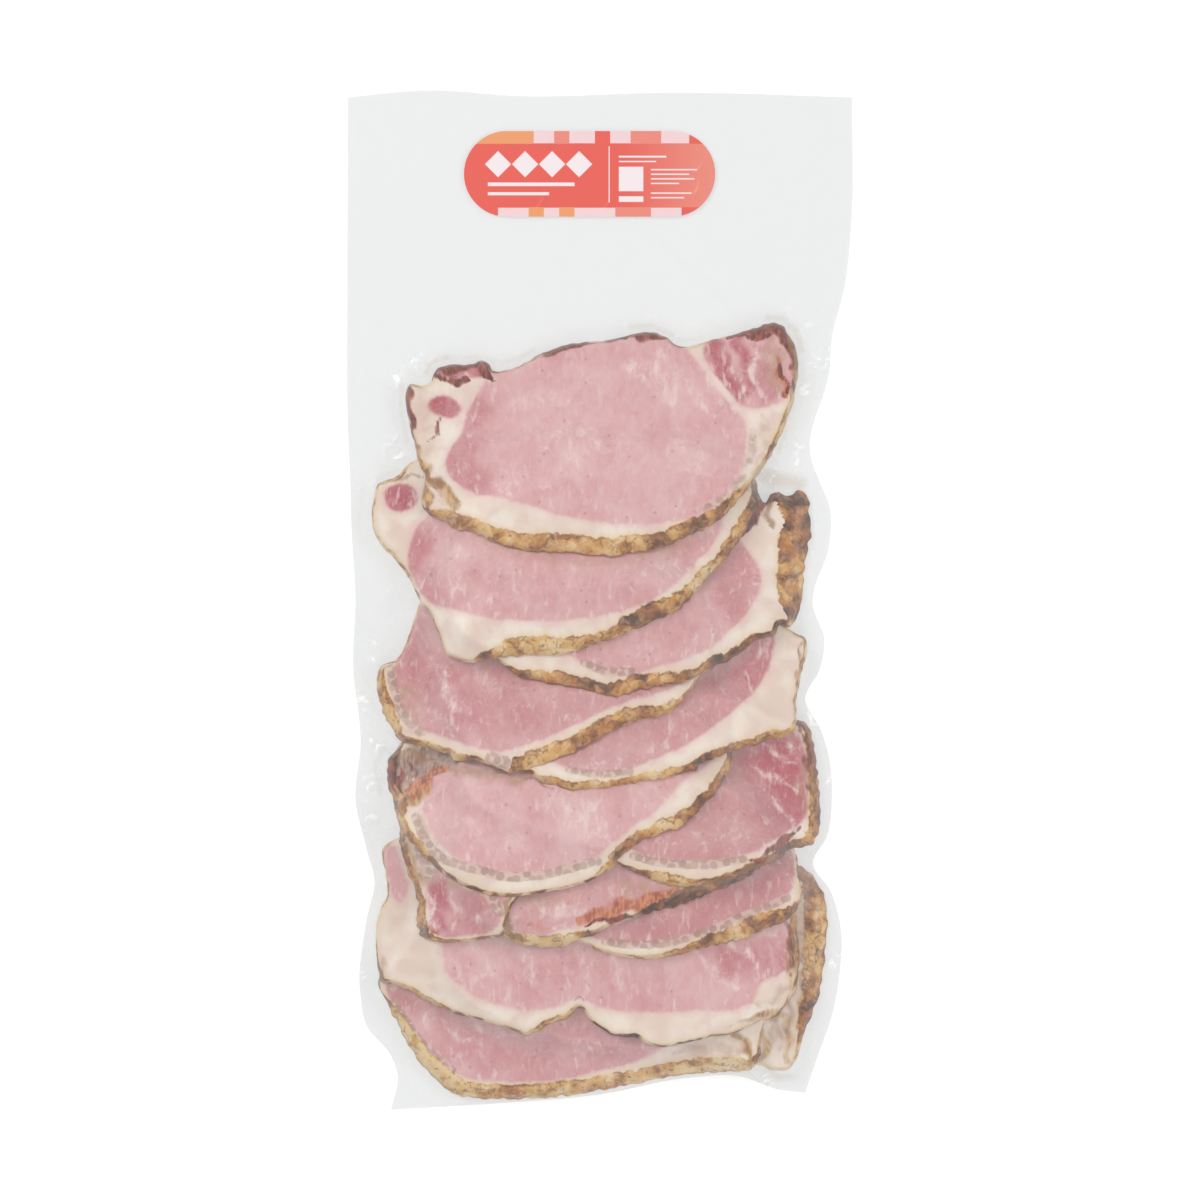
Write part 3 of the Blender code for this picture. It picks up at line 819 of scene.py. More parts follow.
SLICES["middle_left"] = dict(
    blush=0.12,
    middle=(-18, -76),
    outline=[
        (-80, -58.5, 2, 0.8), (-82.5, -62, 4, 0.8), (-83.6, -67, 4, 0.85), (-83.2, -72, 5, 0.8),
        (-81.5, -77.5, 6, 0.6), (-80, -83, 4.5, 0.5), (-78.5, -88, 3, 0.4), (-75, -93, 3, 0.45),
        (-70, -98.5, 3, 0.5), (-64.5, -104, 2, 0.6), (-59, -108, 1.8, 0.7), (-53, -111, 1.6, 0.8),
        (-47, -113.3, 1.5, 0.75), (-39.3, -115, 1.6, 0.6), (-30.4, -115, 1.5, 0.65),
        (-21.6, -113.6, 1.3, 0.7),
        (-10.8, -111.6, 1.2, 0.7), (-2.9, -108.7, 1.2, 0.6), (2, -106, 2.5, 0.3), (6.9, -101.3, 3.5, 0.45),
        (11.8, -96.6, 4, 0.55), (18.6, -92.6, 4, 0.5), (26.5, -89.7, 5, 0.3), (32.4, -87.8, 5, 0.55),
        (38.3, -82, 4, 0.8), (44.2, -76, 3.6, 0.6), (48.5, -70, 3.4, 0.5), (51.8, -62, 2.5, 0.6),
        (50, -58, 1, 0.6), (40, -45, 1, 0.4), (10, -36, 1, 0.4), (-30, -34, 1, 0.4), (-60, -42, 1, 0.4),
        (-74, -52, 1, 0.5),
    ],
    lean=[[
        (-69, -77), (-68.5, -83), (-65.5, -90.5), (-61, -96.5), (-55, -101), (-47, -104), (-35.3, -106),
        (-23.6, -105.5), (-10.8, -103.8), (-2, -100), (3, -96), (8, -92), (14.7, -87), (21.6, -82),
        (29.4, -73.5), (36, -68), (44, -62), (45, -55), (20, -45), (-30, -45), (-60, -60), (-64, -68),
    ]],
    marks=[
        ("jelly", 1.0, 1.8, [(-72, -85), (-69.5, -91), (-66, -97), (-59.9, -101.3), (-53, -103.4),
                             (-45, -105.4), (-39.3, -107.2), (-31.4, -107.7), (-20.6, -106.4),
                             (-10.8, -104), (-1, -101.3)]),
        ("tan", 1.0, 7, [(-88, -66), (-76, -65), (-64, -63), (-54, -60)]),
        ("tan", 0.9, 4, [(-84, -74), (-76, -73), (-68, -69)]),
        ("gold", 0.95, 3.4, [(-82, -84), (-77, -79), (-71, -74), (-66, -70)]),
        ("ember", 1.0, 2.8, [(-79, -78), (-74, -75), (-68, -70), (-60, -65)]),
        ("ember", 0.7, 1.8, [(-82, -87), (-78, -84), (-76, -80)]),
        ("smoke", 0.9, 1.5, [(-82.5, -62), (-82, -67), (-81, -73), (-80, -76)]),
        ("smoke", 0.9, 1.3, [(-78.5, -66), (-78, -71), (-77, -76)]),
        ("smoke", 0.8, 1.2, [(-73.5, -64), (-73, -69), (-74, -73)]),
        ("smoke", 0.7, 1.1, [(-69, -66), (-68.5, -70), (-69.5, -73)]),
        ("crease_shade_and_crack", 0.9, 1.3, [(-76, -60), (-70, -61), (-64, -64)]),
        ("crease_shade_and_crack", 1.0, 0.8, [(-82, -60), (-76, -58.5), (-68, -61), (-64, -64)]),
        ("pale", 0.9, 1.2, [(-73, -82), (-67, -77), (-61, -72)]),
        ("shade", 0.7, 3, [(-70, -84), (-68, -91), (-63, -97)]),
        ("shade", 1.0, 3.5, [(-57, -66), (-45, -68.5), (-32, -69), (-24, -66)]),
        ("pale", 0.9, 9, [(-20, -78), (-6, -84), (4, -94)]),
        ("crease_shade_and_crack", 0.9, 1.0, [(-46, -62), (-42, -66), (-36, -68.5)]),
        ("crease_shade_and_crack", 0.8, 0.9, [(-30, -69), (-24, -70.5), (-18, -73)]),
        ("pale", 0.6, 3, [(-52, -86), (-44, -94)]),
        ("pale", 0.6, 3, [(-36, -88), (-30, -97)]),
        ("pale", 0.5, 3, [(12, -70), (14, -80)]),
    ],
)
SLICES["waist_right"] = dict(
    blush=0.45,
    middle=(8, -32),
    outline=[
        (71.6, -9, 0.8, 0.4), (76.5, -13, 0.8, 0.3), (80.5, -14.9, 1, 0.4), (81, -21, 1.6, 0.4),
        (78.5, -31, 1.4, 0.4), (77, -40.4, 1, 0.4), (77, -46, 1, 0.5), (75.8, -51.8, 2.5, 0.4),
        (67.7, -54.4, 3.5, 0.25), (60.8, -56.6, 3.2, 0.4), (53, -58.6, 3, 0.5), (46, -61.2, 3, 0.45),
        (40.2, -63.4, 3, 0.7), (36.5, -66.2, 3, 0.8), (31.4, -67.6, 3, 0.6), (23.6, -69.6, 3.5, 0.15),
        (13.7, -70.8, 2.8, 0.4), (5.9, -72.5, 2.8, 0.5), (0, -73, 3, 0.35), (-10.8, -73.8, 3.5, 0.5),
        (-17.7, -72, 3.2, 0.6), (-23.6, -70.5, 2.5, 0.45), (-27, -67.5, 1.5, 0.4), (-50, -60, 1, 0.4),
        (-62, -40, 1, 0.4), (-58, -15, 1, 0.4), (-35, 0, 1, 0.4), (0, 8, 1, 0.4), (40, 6, 1, 0.4),
        (62, 0, 1, 0.4),
    ],
    lean=[[
        (-20, -62), (-13.7, -65), (-5.9, -67), (3.9, -67.2), (13.7, -65), (23.6, -61), (33.4, -56.6),
        (41.2, -51.8), (49, -45.8), (55.9, -40), (61.8, -34), (66, -27), (67.5, -20), (68, -12), (62, -5),
        (20, -5), (-30, -10), (-50, -30), (-40, -55),
    ]],
    marks=[
        ("red", 0.55, 7, [(64, -14), (63, -24), (58, -32)]),
        ("pale", 0.8, 1.2, [(66, -12), (64, -20), (58, -26)]),
        ("pale", 0.7, 1.2, [(72, -16), (69, -24), (66, -32)]),
        ("tan", 0.6, 1.4, [(79, -17), (78, -28), (76.5, -40)]),
        ("pale", 0.4, 4, [(36, -42), (26, -50)]),
        ("jelly", 0.6, 1.8, [(-12, -66), (0, -68), (12, -66.5)]),
        ("red", 0.3, 8, [(30, -50), (50, -38)]),
    ],
)

# %% Slices at the waist and the shoulder
SLICES["waist_left"] = dict(
    blush=0.55,
    middle=(-16, -26),
    outline=[
        (-66, 8, 0.8, 0.3), (-70.2, 0, 0.8, 0.3), (-73.1, -8, 0.8, 0.3), (-76.5, -18, 1, 0.3),
        (-80.5, -23.8, 1, 0.3), (-84.4, -25, 1.5, 0.6), (-87.3, -29, 3, 0.25), (-87.2, -36, 4.5, 0.3),
        (-85.2, -43.5, 4.5, 0.4), (-82, -49.8, 4, 0.5), (-78.5, -54.8, 3, 0.6), (-73.6, -56.5, 2.5, 0.3),
        (-66.7, -58, 2.5, 0.2), (-59.9, -60.3, 2.5, 0.25), (-55, -62.8, 3, 0.45), (-49, -63, 2.5, 0.7),
        (-44, -63.8, 0.8, 0.5), (-40.5, -65.3, 0.6, 0.5), (-37, -66.4, 0.8, 0.6), (-34, -67, 5, 0.6),
        (-27.5, -65.4, 6, 0.35),
        (-19.6, -62.8, 6.5, 0.35), (-13.7, -60.4, 6, 0.4), (-7.9, -58, 6, 0.45), (-1, -54, 6, 0.5),
        (5.9, -50.6, 6, 0.55), (12.8, -47.8, 6, 0.5), (18.6, -46, 5, 0.45), (25.5, -44.8, 4, 0.4),
        (28.6, -42.8, 3.5, 0.4), (33, -38, 1.5, 0.4), (37.5, -32, 1, 0.4), (45, -15, 1, 0.4), (35, 5, 1, 0.4),
        (0, 15, 1, 0.4), (-40, 16, 1, 0.4),
    ],
    lean=[[
        (-68, 5), (-72, -6), (-76, -18), (-80, -24.5), (-81.5, -29), (-80, -36), (-77.5, -44), (-71.5, -50),
        (-62, -53), (-52, -56.6), (-45, -58.3), (-37.3, -58.8), (-27.5, -56), (-17.7, -52), (-7.9, -48),
        (2, -43), (11.8, -39), (23.6, -36), (31.4, -32), (36, -25), (30, 0), (-10, 8), (-50, 10),
    ]],
    marks=[
        ("shade", 0.9, 3.5, [(-78, -34), (-75, -40), (-72, -46)]),
        ("jelly", 0.9, 1.9, [(-82, -27), (-81, -34), (-79.5, -41), (-75, -47.5), (-70, -51.5)]),
        ("jelly", 1.0, 2.6, [(-42, -61.5), (-37, -63)]),
        ("shade", 0.6, 2.5, [(-80, -45), (-70, -53)]),
        ("pale", 0.8, 3, [(-62, -30), (-60, -38), (-52, -44)]),
        ("pale", 0.7, 2, [(-70, -18), (-66, -26), (-58, -28)]),
        ("pale", 0.6, 3, [(-48, -26), (-40, -36)]),
        ("pale", 0.7, 2.5, [(-66, -44), (-56, -50)]),
        ("pale", 0.4, 5, [(-20, -32), (0, -30)]),
        ("red", 0.45, 9, [(-72, -26), (-58, -34), (-50, -44)]),
        ("red", 0.3, 7, [(-40, -30), (-30, -46)]),
    ],
)
SLICES["shoulder_right"] = dict(
    blush=0.3,
    middle=(10, 4),
    outline=[
        (56, 45, 2, 1), (61, 43.5, 1, 0.8), (64.5, 38, 1, 0.9), (67, 41, 3, 0.9), (70, 42.8, 6, 0.75),
        (72.6, 40.5, 9, 0.66), (75, 41.5, 10, 0.66), (78.5, 43, 11, 0.64), (81.3, 41, 12, 0.66),
        (82.2, 33, 12.5, 0.72), (82.8, 26.5, 13, 0.74), (81.3, 19.5, 11.5, 0.66), (80, 10.6, 10.5, 0.52),
        (79.4, 1.8, 9.8, 0.54), (77.3, -6.5, 7.5, 0.55), (74.6, -10.5, 3, 0.3), (70.7, -9.8, 2.5, 0.9),
        (68.3, -13.5, 2, 0.6), (62.8, -15.2, 2.5, 0.9), (58.9, -17.4, 3, 0.95), (53, -22.2, 3.2, 0.9),
        (45, -26, 4, 0.8), (39, -29, 3, 0.5), (33.4, -31.8, 4.2, 0.4), (23.6, -33.3, 5, 0.35),
        (13.7, -35.3, 6, 0.6), (5.9, -37.7, 5.5, 0.75), (0, -36.3, 4, 0.75), (-7.9, -34.3, 4.5, 0.7),
        (-17.7, -32.8, 5, 0.6), (-25.5, -31, 4, 0.45), (-31.4, -29.8, 3, 0.5), (-36.3, -26.8, 1.8, 0.4),
        (-40, -23, 1, 0.4), (-58, -10, 1, 0.4), (-60, 15, 1, 0.4), (-40, 38, 1, 0.4), (0, 50, 1, 0.4),
        (40, 50, 1, 0.6),
    ],
    lean=[[
        (-12, -21), (-5.9, -25), (-1, -27.8), (5.9, -29.5), (13.7, -28.5), (23.6, -26), (33.4, -22.6),
        (43.2, -18.6), (50, -12.7), (55.9, -6.8), (60.5, -0.5), (63, 7.6), (62, 13.5), (57, 20.4), (53, 26),
        (50, 35), (20, 40), (-30, 30), (-45, 5), (-30, -12),
    ]],
    marks=[
        ("smoke", 1.0, 2.0, [(64, 48), (63, 38), (60, 31), (56, 25)]),
        ("crease_shade_and_crack", 0.9, 1.2, [(66, 42), (66, 34), (68, 27)]),
        ("crease_shade_and_crack", 0.8, 0.7, [(72, 34), (78, 33.5), (84, 34)]),
        ("crease_shade_and_crack", 0.8, 0.7, [(72, 27), (78, 26), (84, 26.5)]),
        ("crease_shade_and_crack", 0.8, 0.7, [(72, 19), (78, 18), (83, 19)]),
        ("crease_shade_and_crack", 0.7, 0.7, [(72, 11), (77, 10), (81, 11)]),
        ("shade", 0.9, 4, [(62, 41), (66, 39)]),
        ("pale", 0.5, 5, [(60, 22), (64, 8), (60, -4)]),
        ("jelly", 0.8, 1.8, [(-6, -24.5), (2, -28), (12, -27.8)]),
        ("red", 0.35, 8, [(56, 16), (52, 0)]),
    ],
)
SLICES["shoulder_left"] = dict(
    blush=0.25,
    middle=(-16, 20),
    outline=[
        (-87, 45.5, 1, 0.5), (-88.7, 40, 1, 0.4), (-89.5, 33, 1.2, 0.3), (-88.5, 26.3, 1.3, 0.3),
        (-85.6, 21.2, 1.3, 0.35), (-80.7, 16.2, 1.5, 0.4), (-74.8, 8.3, 1.2, 0.6), (-70.4, -0.6, 0.8, 0.6),
        (-66.4, -5.6, 0.7, 0.5), (-63, -13.5, 0.6, 0.3), (-60.6, -20.5, 0.6, 0.2), (-55.2, -23.5, 0.8, 0.3),
        (-50, -24.6, 1.5, 0.5), (-46, -23.5, 3, 0.7), (-39.3, -22.6, 4.5, 0.35), (-35.3, -22, 7, 0.25),
        (-25.5, -21.3, 7.3, 0.22), (-15.7, -21.2, 6.8, 0.25), (-8.8, -19.6, 5.5, 0.3), (-1, -16.8, 4, 0.35),
        (4.9, -15.2, 4.5, 0.5), (11.8, -12.3, 6, 0.6), (18.6, -9.2, 7, 0.7), (25.5, -6.3, 7, 0.6),
        (32.6, -2.3, 6, 0.5), (37, 2.8, 4.5, 0.35), (42, 8.8, 4, 0.3), (48, 14.8, 3.8, 0.4),
        (52, 19.8, 4.5, 0.5), (56, 25.8, 4.5, 0.6), (60, 34, 4, 0.7), (62, 42, 3, 0.7), (58, 52, 1, 0.5),
        (30, 62, 1, 0.4), (-20, 64, 1, 0.4), (-60, 60, 1, 0.4), (-74, 54, 1.5, 0.5), (-80, 48.5, 2, 0.6),
    ],
    lean=[
        [
            (-71, 29), (-74.5, 22), (-75.3, 15), (-73.2, 8.5), (-70, 2.5), (-65.8, -1.4), (-60.8, -2.6),
            (-55, -4.4), (-45, -6.6), (-35, -7.9), (-20.6, -8.2), (-7.9, -7.4), (3.9, -5.6), (13.7, -2.8),
            (21.6, 0.7), (29.4, 6.2), (36.3, 13), (43.2, 21), (47.5, 28), (45, 45), (0, 55), (-40, 50),
            (-60, 38),
        ],
        oval(-78, 40, 6.4, 5.6),
    ],
    marks=[
        ("red", 1.0, 8, [(-80, 40), (-76, 40.5)]),
        ("red", 0.5, 5, [(-70, 24), (-71, 12), (-66, 2)]),
        ("crease_shade_and_crack", 0.8, 0.8, [(-88, 45), (-78, 47.5), (-68, 49)]),
        ("pale", 0.5, 3, [(-72, 38), (-66, 36)]),
        ("pale", 0.55, 5, [(-58, 22), (-56, 4)]),
        ("pale", 0.4, 5, [(-34, 14), (-30, -2)]),
        ("pale", 0.35, 7, [(10, 12), (28, 16)]),
        ("shade", 0.5, 3, [(-45, 22), (-20, 17), (10, 16), (30, 20), (44, 27)]),
    ],
)

# %% The slice on top
SLICES["top"] = dict(
    blush=0.08,
    middle=(1, 61),
    outline=[
        (-76.3, 80, 0.6, 0.4), (-75.6, 83, 0.8, 0.5), (-74, 85, 1, 0.5), (-70.5, 84, 1, 0.5),
        (-66.5, 85.5, 0.8, 0.4), (-65.3, 88.5, 1, 1), (-63.5, 91, 1.3, 1), (-58, 92.3, 1.3, 1),
        (-50, 92.5, 1.3, 1), (-47, 94, 1.5, 1), (-43.5, 92.5, 1.2, 1), (-41.8, 89.8, 1, 0.7),
        (-35.3, 90.5, 0.8, 0.3), (-29.4, 93, 0.8, 0.4), (-23.6, 96.4, 1.5, 0.6), (-19.6, 98, 2.2, 0.65),
        (-10.8, 100.6, 2, 0.8), (0, 101.6, 1.2, 0.5), (7.9, 102.8, 1.5, 0.6), (13.7, 104.6, 1.6, 0.9),
        (21.6, 104.8, 1.6, 0.9), (26.5, 102.8, 1.2, 0.6), (29.4, 100.2, 0.8, 0.3), (34.3, 99.3, 0.8, 0.2),
        (40.2, 101, 0.8, 0.2), (47.1, 102.8, 0.8, 0.5), (53, 104.3, 1.2, 0.9), (59.9, 106.4, 1.8, 1),
        (66.7, 108.6, 2, 1), (70.9, 108, 2.5, 0.9), (74.8, 102.8, 2.5, 0.8), (77.2, 97, 2.2, 0.8),
        (77.8, 91, 2, 0.8), (76.8, 83.2, 2, 0.6), (75.3, 76, 2, 0.35), (72.8, 69, 2.2, 0.3),
        (68.9, 60.2, 2.2, 0.35), (63, 50.4, 2, 0.45), (59, 45.4, 2, 0.4), (54.5, 39.5, 3, 0.4),
        (50, 34.5, 4, 0.5), (45.1, 30, 5.5, 0.5), (38, 26.5, 6, 0.6), (33.4, 24.6, 6, 0.55),
        (23.6, 20.3, 6, 0.45), (13.7, 18.8, 6.5, 0.3), (3.9, 17.1, 7, 0.25), (-5.9, 18, 7, 0.4),
        (-15.7, 18.8, 7, 0.45), (-25.5, 19, 7, 0.45), (-33.4, 20.3, 6.5, 0.45), (-39.3, 21.8, 6, 0.5),
        (-45.1, 24.7, 5, 0.4), (-51, 26.7, 5.5, 0.3), (-56.9, 28.2, 6, 0.3), (-61.8, 31.2, 4.5, 0.45),
        (-67.7, 34.2, 2, 0.5), (-69.9, 39, 1.2, 0.5), (-68.8, 44, 1.2, 0.5), (-68.3, 48.5, 2, 0.7),
        (-70.3, 52, 2, 0.6), (-72, 58, 1, 0.5), (-74, 66, 0.9, 0.5), (-75.4, 72, 0.9, 0.5),
    ],
    lean=[
        [
            (-45.5, 84), (-49, 79), (-52.5, 71), (-54, 65.5), (-57, 61), (-60, 54.5), (-59, 49), (-55, 44.8),
            (-50, 42), (-45, 40.8), (-38, 39.6), (-30, 37.4), (-20, 34.4), (-10, 31.9), (0, 30.3), (10, 29.7),
            (20, 29.9), (30, 30.9), (38, 32.2), (45, 36.2), (50, 42.8), (54.5, 50), (57.2, 58), (57.6, 65),
            (56.5, 71), (52, 75.5), (46.5, 82.5), (40.5, 90.5), (36, 96), (33, 99), (29, 101.5), (22, 107),
            (0, 106), (-15, 104), (-25, 98.5), (-33, 93.5), (-40, 91), (-44, 88),
        ],
        [
            (40, 98.5), (46, 103.5), (55, 107), (66, 111), (74, 105), (76, 96), (75.5, 86), (73, 79),
            (66, 75.5), (58, 75), (52.5, 79.5), (46.5, 86.5), (42, 92.5),
        ],
        [(-64, 87.5), (-62, 91), (-50, 92), (-44, 92), (-42.5, 89), (-50, 86.8), (-58, 86)],
        oval(-61, 75.5, 6.6, 4.1, -12),
    ],
    marks=[
        ("red", 1.0, 8, [(-63, 75.5), (-59, 75.2)]),
        ("red", 1.0, 4.2, [(45, 99), (48, 91), (54, 80)]),
        ("red", 0.9, 2.2, [(54, 101), (57, 94), (59, 84)]),
        ("red", 0.5, 5, [(64, 96), (66, 82)]),
        ("red", 0.8, 3, [(-62, 89), (-45, 90)]),
        ("red", 0.5, 7, [(-50, 76), (-54, 64), (-57, 54), (-48, 46)]),
        ("shade", 0.9, 5, [(66, 100), (69, 92), (69, 82)]),
        ("pale", 1.0, 2.6, [(61, 97), (66, 95), (69, 90)]),
        ("ember", 1.0, 1.7, [(69.5, 94), (70.5, 89), (72, 84), (73.5, 79)]),
        ("smoke", 1.0, 1.2, [(70, 92), (71.5, 87), (73.5, 81)]),
        ("jelly", 0.5, 2.2, [(60, 66), (59.5, 58), (55, 47.5), (48, 39.5), (38, 34.5)]),
        ("shade", 0.5, 1.8, [(63, 72), (66, 64), (62, 54)]),
        ("smoke", 0.9, 1.6, [(54, 102.5), (64, 103.5), (73, 103)]),
        ("pale", 1.0, 1.5, [(51, 99), (52.5, 91), (56, 80)]),
        ("pale", 1.0, 1.5, [(60, 98), (59.5, 90), (63, 80)]),
        ("pale", 0.8, 6, [(12, 92), (24, 86), (30, 78)]),
        ("pale", 0.6, 8, [(-20, 62), (0, 60)]),
        ("pale", 0.5, 8, [(30, 60), (40, 50)]),
        ("pale", 0.7, 3, [(24, 96), (34, 84), (44, 72)]),
        ("pale", 0.5, 4, [(-36, 76), (-20, 80), (-6, 76)]),
        ("pale", 0.9, 1.8, [(37, 97), (44, 86), (50, 78), (56, 70)]),
        ("smoke", 0.7, 2.2, [(-26, 96), (-15, 99.5), (-4, 101.3)]),
        ("smoke", 0.9, 2.2, [(12, 104), (25, 103)]),
        ("smoke", 1.0, 2.6, [(50, 103.5), (60, 106), (69, 107), (74, 100), (76, 92)]),
        ("crease_shade_and_crack", 0.9, 1.2, [(74, 104), (76, 96), (77, 86)]),
        ("smoke", 0.9, 2.6, [(-75.8, 83), (-75.5, 75), (-73.5, 67)]),
        ("pale", 0.6, 1.6, [(-71, 82), (-71, 70)]),
        ("shade", 0.35, 6, [(-70, 82), (-68, 70), (-68, 58)]),
        ("smoke", 0.8, 1.1, [(-62, 72), (-62.5, 68), (-64.5, 65), (-68, 63)]),
        ("gold", 1.0, 2.8, [(-72, 60), (-70.5, 53), (-66.5, 47)]),
        ("gold", 1.0, 1.9, [(-69, 48), (-68.5, 42), (-66, 36)]),
        ("gold", 0.9, 2.6, [(-67, 48), (-61, 43.5), (-56, 37)]),
        ("gold", 0.8, 2.0, [(-62, 34), (-56, 32), (-50, 30.5)]),
        ("crease_shade_and_crack", 0.8, 1.2, [(-71, 52), (-66, 47.5), (-60, 45)]),
        ("crease_shade_and_crack", 0.6, 1.1, [(-65, 45), (-62, 39), (-57, 33)]),
        ("ember", 0.5, 1.4, [(-70, 50), (-66, 47)]),
        ("tan", 0.7, 1.4, [(-76, 64), (-73, 60)]),
        ("red", 0.4, 3.5, [(-56, 60), (-56, 52), (-48, 44)]),
        ("smoke", 1.0, 2.7, [(-66, 87), (-62, 91), (-54, 91.5), (-43, 93)]),
        ("smoke", 1.0, 1.5, [(-65, 87.5), (-59, 85.8), (-51, 85.6)]),
        ("smoke", 1.0, 1.8, [(-48, 92), (-45, 90.5), (-43, 86)]),
        ("ember", 0.5, 2, [(-22, 96.5), (-8, 99.5)]),
    ],
)
print(len(SLICES), "slices")

# %% [markdown]
# ## A slice's blank
# All slices have the same kind of mesh, so it is modelled once: a disc with rings that are close together
# near the rim, where the rind curves down, and a shallow underside. Each slice is then a copy of the blank
# that is drawn out to its own outline.

# %% Model the blank
SPOKES = 440
TOP_RINGS = 60
UNDER_RINGS = 5


def model_blank():
    """A unit disc: its top is at height 0, in TOP_RINGS even rings, and its underside is at -1."""
    everything_deselected()
    bpy.ops.mesh.primitive_circle_add(vertices=SPOKES, radius=1, fill_type="NGON", location=(0, 0, 0))
    disc = bpy.context.object
    bpy.ops.object.mode_set(mode="EDIT")
    bpy.ops.mesh.select_mode(type="FACE")
    bpy.ops.mesh.select_all(action="SELECT")
    for _ in range(TOP_RINGS - 1):
        bpy.ops.mesh.inset(thickness=1 / TOP_RINGS, use_even_offset=False)
    bpy.ops.mesh.poke()
    bpy.ops.mesh.select_mode(type="EDGE")
    bpy.ops.mesh.select_all(action="DESELECT")
    bpy.ops.mesh.select_non_manifold()
    bpy.ops.mesh.extrude_edges_move(TRANSFORM_OT_translate={"value": (0, 0, -1)})
    for ring in range(UNDER_RINGS, 1, -1):
        bpy.ops.mesh.extrude_edges_move(TRANSFORM_OT_translate={"value": (0, 0, 0)})
        bpy.ops.transform.resize(value=((ring - 1) / ring, (ring - 1) / ring, 1), center_override=(0, 0, -1))
    bpy.ops.mesh.edge_face_add()
    bpy.ops.mesh.select_mode(type="FACE")
    bpy.ops.mesh.poke()
    bpy.ops.mesh.select_all(action="SELECT")
    bpy.ops.mesh.normals_make_consistent(inside=False)
    bpy.ops.object.mode_set(mode="OBJECT")
    return disc


blank = model_blank()
BLANK_PLACES = np.array([vertex.co[:] for vertex in blank.data.vertices])
print("the blank has", len(blank.data.polygons), "faces")

# %% [markdown]
# ## The pile
# Slices are soft. Each one drapes over those below it, so its own underside isn't flat. A map of the pile's
# height, one value for each square millimetre, stands in for the pile. A new slice rests on a softened copy
# of the map that never dips below it, which is how a bendy slice bridges a step. Then the slice is added to
# the map. At the end the vacuum presses the whole pile, most where it is highest.

# %% Height maps
SLICE_THICKNESS = 6.2
BACK_FILM = 0.5
PRESSED_HEIGHT = 37
BETWEEN_SLICES = 0.1
EDGE_SHARE = 0.14  # the share of a slice's thickness that it has at its very rim
SWELL_HEIGHT = 0.42
SWELL_START = 8  # how far in from the rim a swell reaches its full height
MAP_X = np.arange(-104.0, 105.0)
MAP_Y = np.arange(-206.0, 207.0)
map_x, map_y = np.meshgrid(MAP_X, MAP_Y)


def soften(heights, rounds=1):
    """Averages each spot of a map with its neighbours."""
    for _ in range(rounds):
        padded = np.pad(heights, 1, mode="edge")
        rows = padded[:-2] + 2 * padded[1:-1] + padded[2:]
        heights = (rows[:, :-2] + 2 * rows[:, 1:-1] + rows[:, 2:]) / 16
    return heights


def drape(heights, rounds):
    """A soft sheet on a map: it touches the high spots and bridges the low ones."""
    sheet = heights.copy()
    for _ in range(rounds):
        sheet = np.maximum(heights, soften(sheet))
    return sheet


def height_at(heights, x, y):
    """Reads a map between its spots."""
    column = np.clip(x - MAP_X[0], 0, len(MAP_X) - 1.001)
    row = np.clip(y - MAP_Y[0], 0, len(MAP_Y) - 1.001)
    i, j = column.astype(int), row.astype(int)
    u, v = column - i, row - j
    low = heights[j, i] * (1 - u) + heights[j, i + 1] * u
    high = heights[j + 1, i] * (1 - u) + heights[j + 1, i + 1] * u
    return low * (1 - v) + high * v


def pressed(height):
    """The vacuum's press: low spots keep their height and high ones come down."""
    return PRESSED_HEIGHT * np.tanh(height / PRESSED_HEIGHT)


def thickness_at(rim, rind_width):
    """A slice's own thickness: its edge is rounded over the width of the rind."""
    run = np.maximum(rind_width, 1.2) * 0.7 + 0.8
    share = np.clip(rim / run, 0, 1)
    return SLICE_THICKNESS * (EDGE_SHARE + (1 - EDGE_SHARE) * np.sin(share * np.pi / 2))


def unevenness(x, y, seed):
    """Gentle swells in a slice's face."""
    across = np.sin(x / 8.1 + seed * 1.7 + np.sin(y / 10.3 + seed))
    return SWELL_HEIGHT * (across * np.sin(y / 6.7 + seed * 2.3 + np.sin(x / 12.1)))


# %% [markdown]
# ## Draw out each slice
# The blank's rings near the rim are set at fixed distances inside the outline, and the others are spread
# evenly up to the middle. Distances to the rim and to the lean are written on the mesh as plain numbers.

# %% Model the slices
RIM_RINGS = np.array([0, 0.35, 0.8, 1.35, 2.0, 2.7, 3.5, 4.3, 5.1, 6.0, 6.9, 7.9, 9.0, 10.2])
MARKS = ("red", "pale", "shade", "smoke", "tan", "gold", "ember", "crease_shade_and_crack", "jelly")
BUMP_HEIGHT = 0.22
LEAN_POINTS = 150
FIRST_LOOSE_RING = 7
RELAXING_ROUNDS = 800
DRAPING_ROUNDS = 50


def blank_numbers():
    """For each of the blank's points: its spoke, its ring from the rim, and whether it is on top."""
    angle = np.arctan2(BLANK_PLACES[:, 1], BLANK_PLACES[:, 0])
    radius = np.hypot(BLANK_PLACES[:, 0], BLANK_PLACES[:, 1])
    spoke = np.round(angle / (2 * np.pi) * SPOKES).astype(int) % SPOKES
    on_top = BLANK_PLACES[:, 2] > -0.5
    ring = np.where(on_top, (1 - radius) * TOP_RINGS, (1 - radius) * UNDER_RINGS)
    return spoke, np.round(ring).astype(int), on_top


SPOKE, RING, ON_TOP = blank_numbers()


def outwards(line):
    """The direction across a closed line at each of its points."""
    run = np.roll(line[:, :2], -1, axis=0) - np.roll(line[:, :2], 1, axis=0)
    return np.stack([run[:, 1], -run[:, 0]], axis=1) / np.linalg.norm(run, axis=1)[:, None]


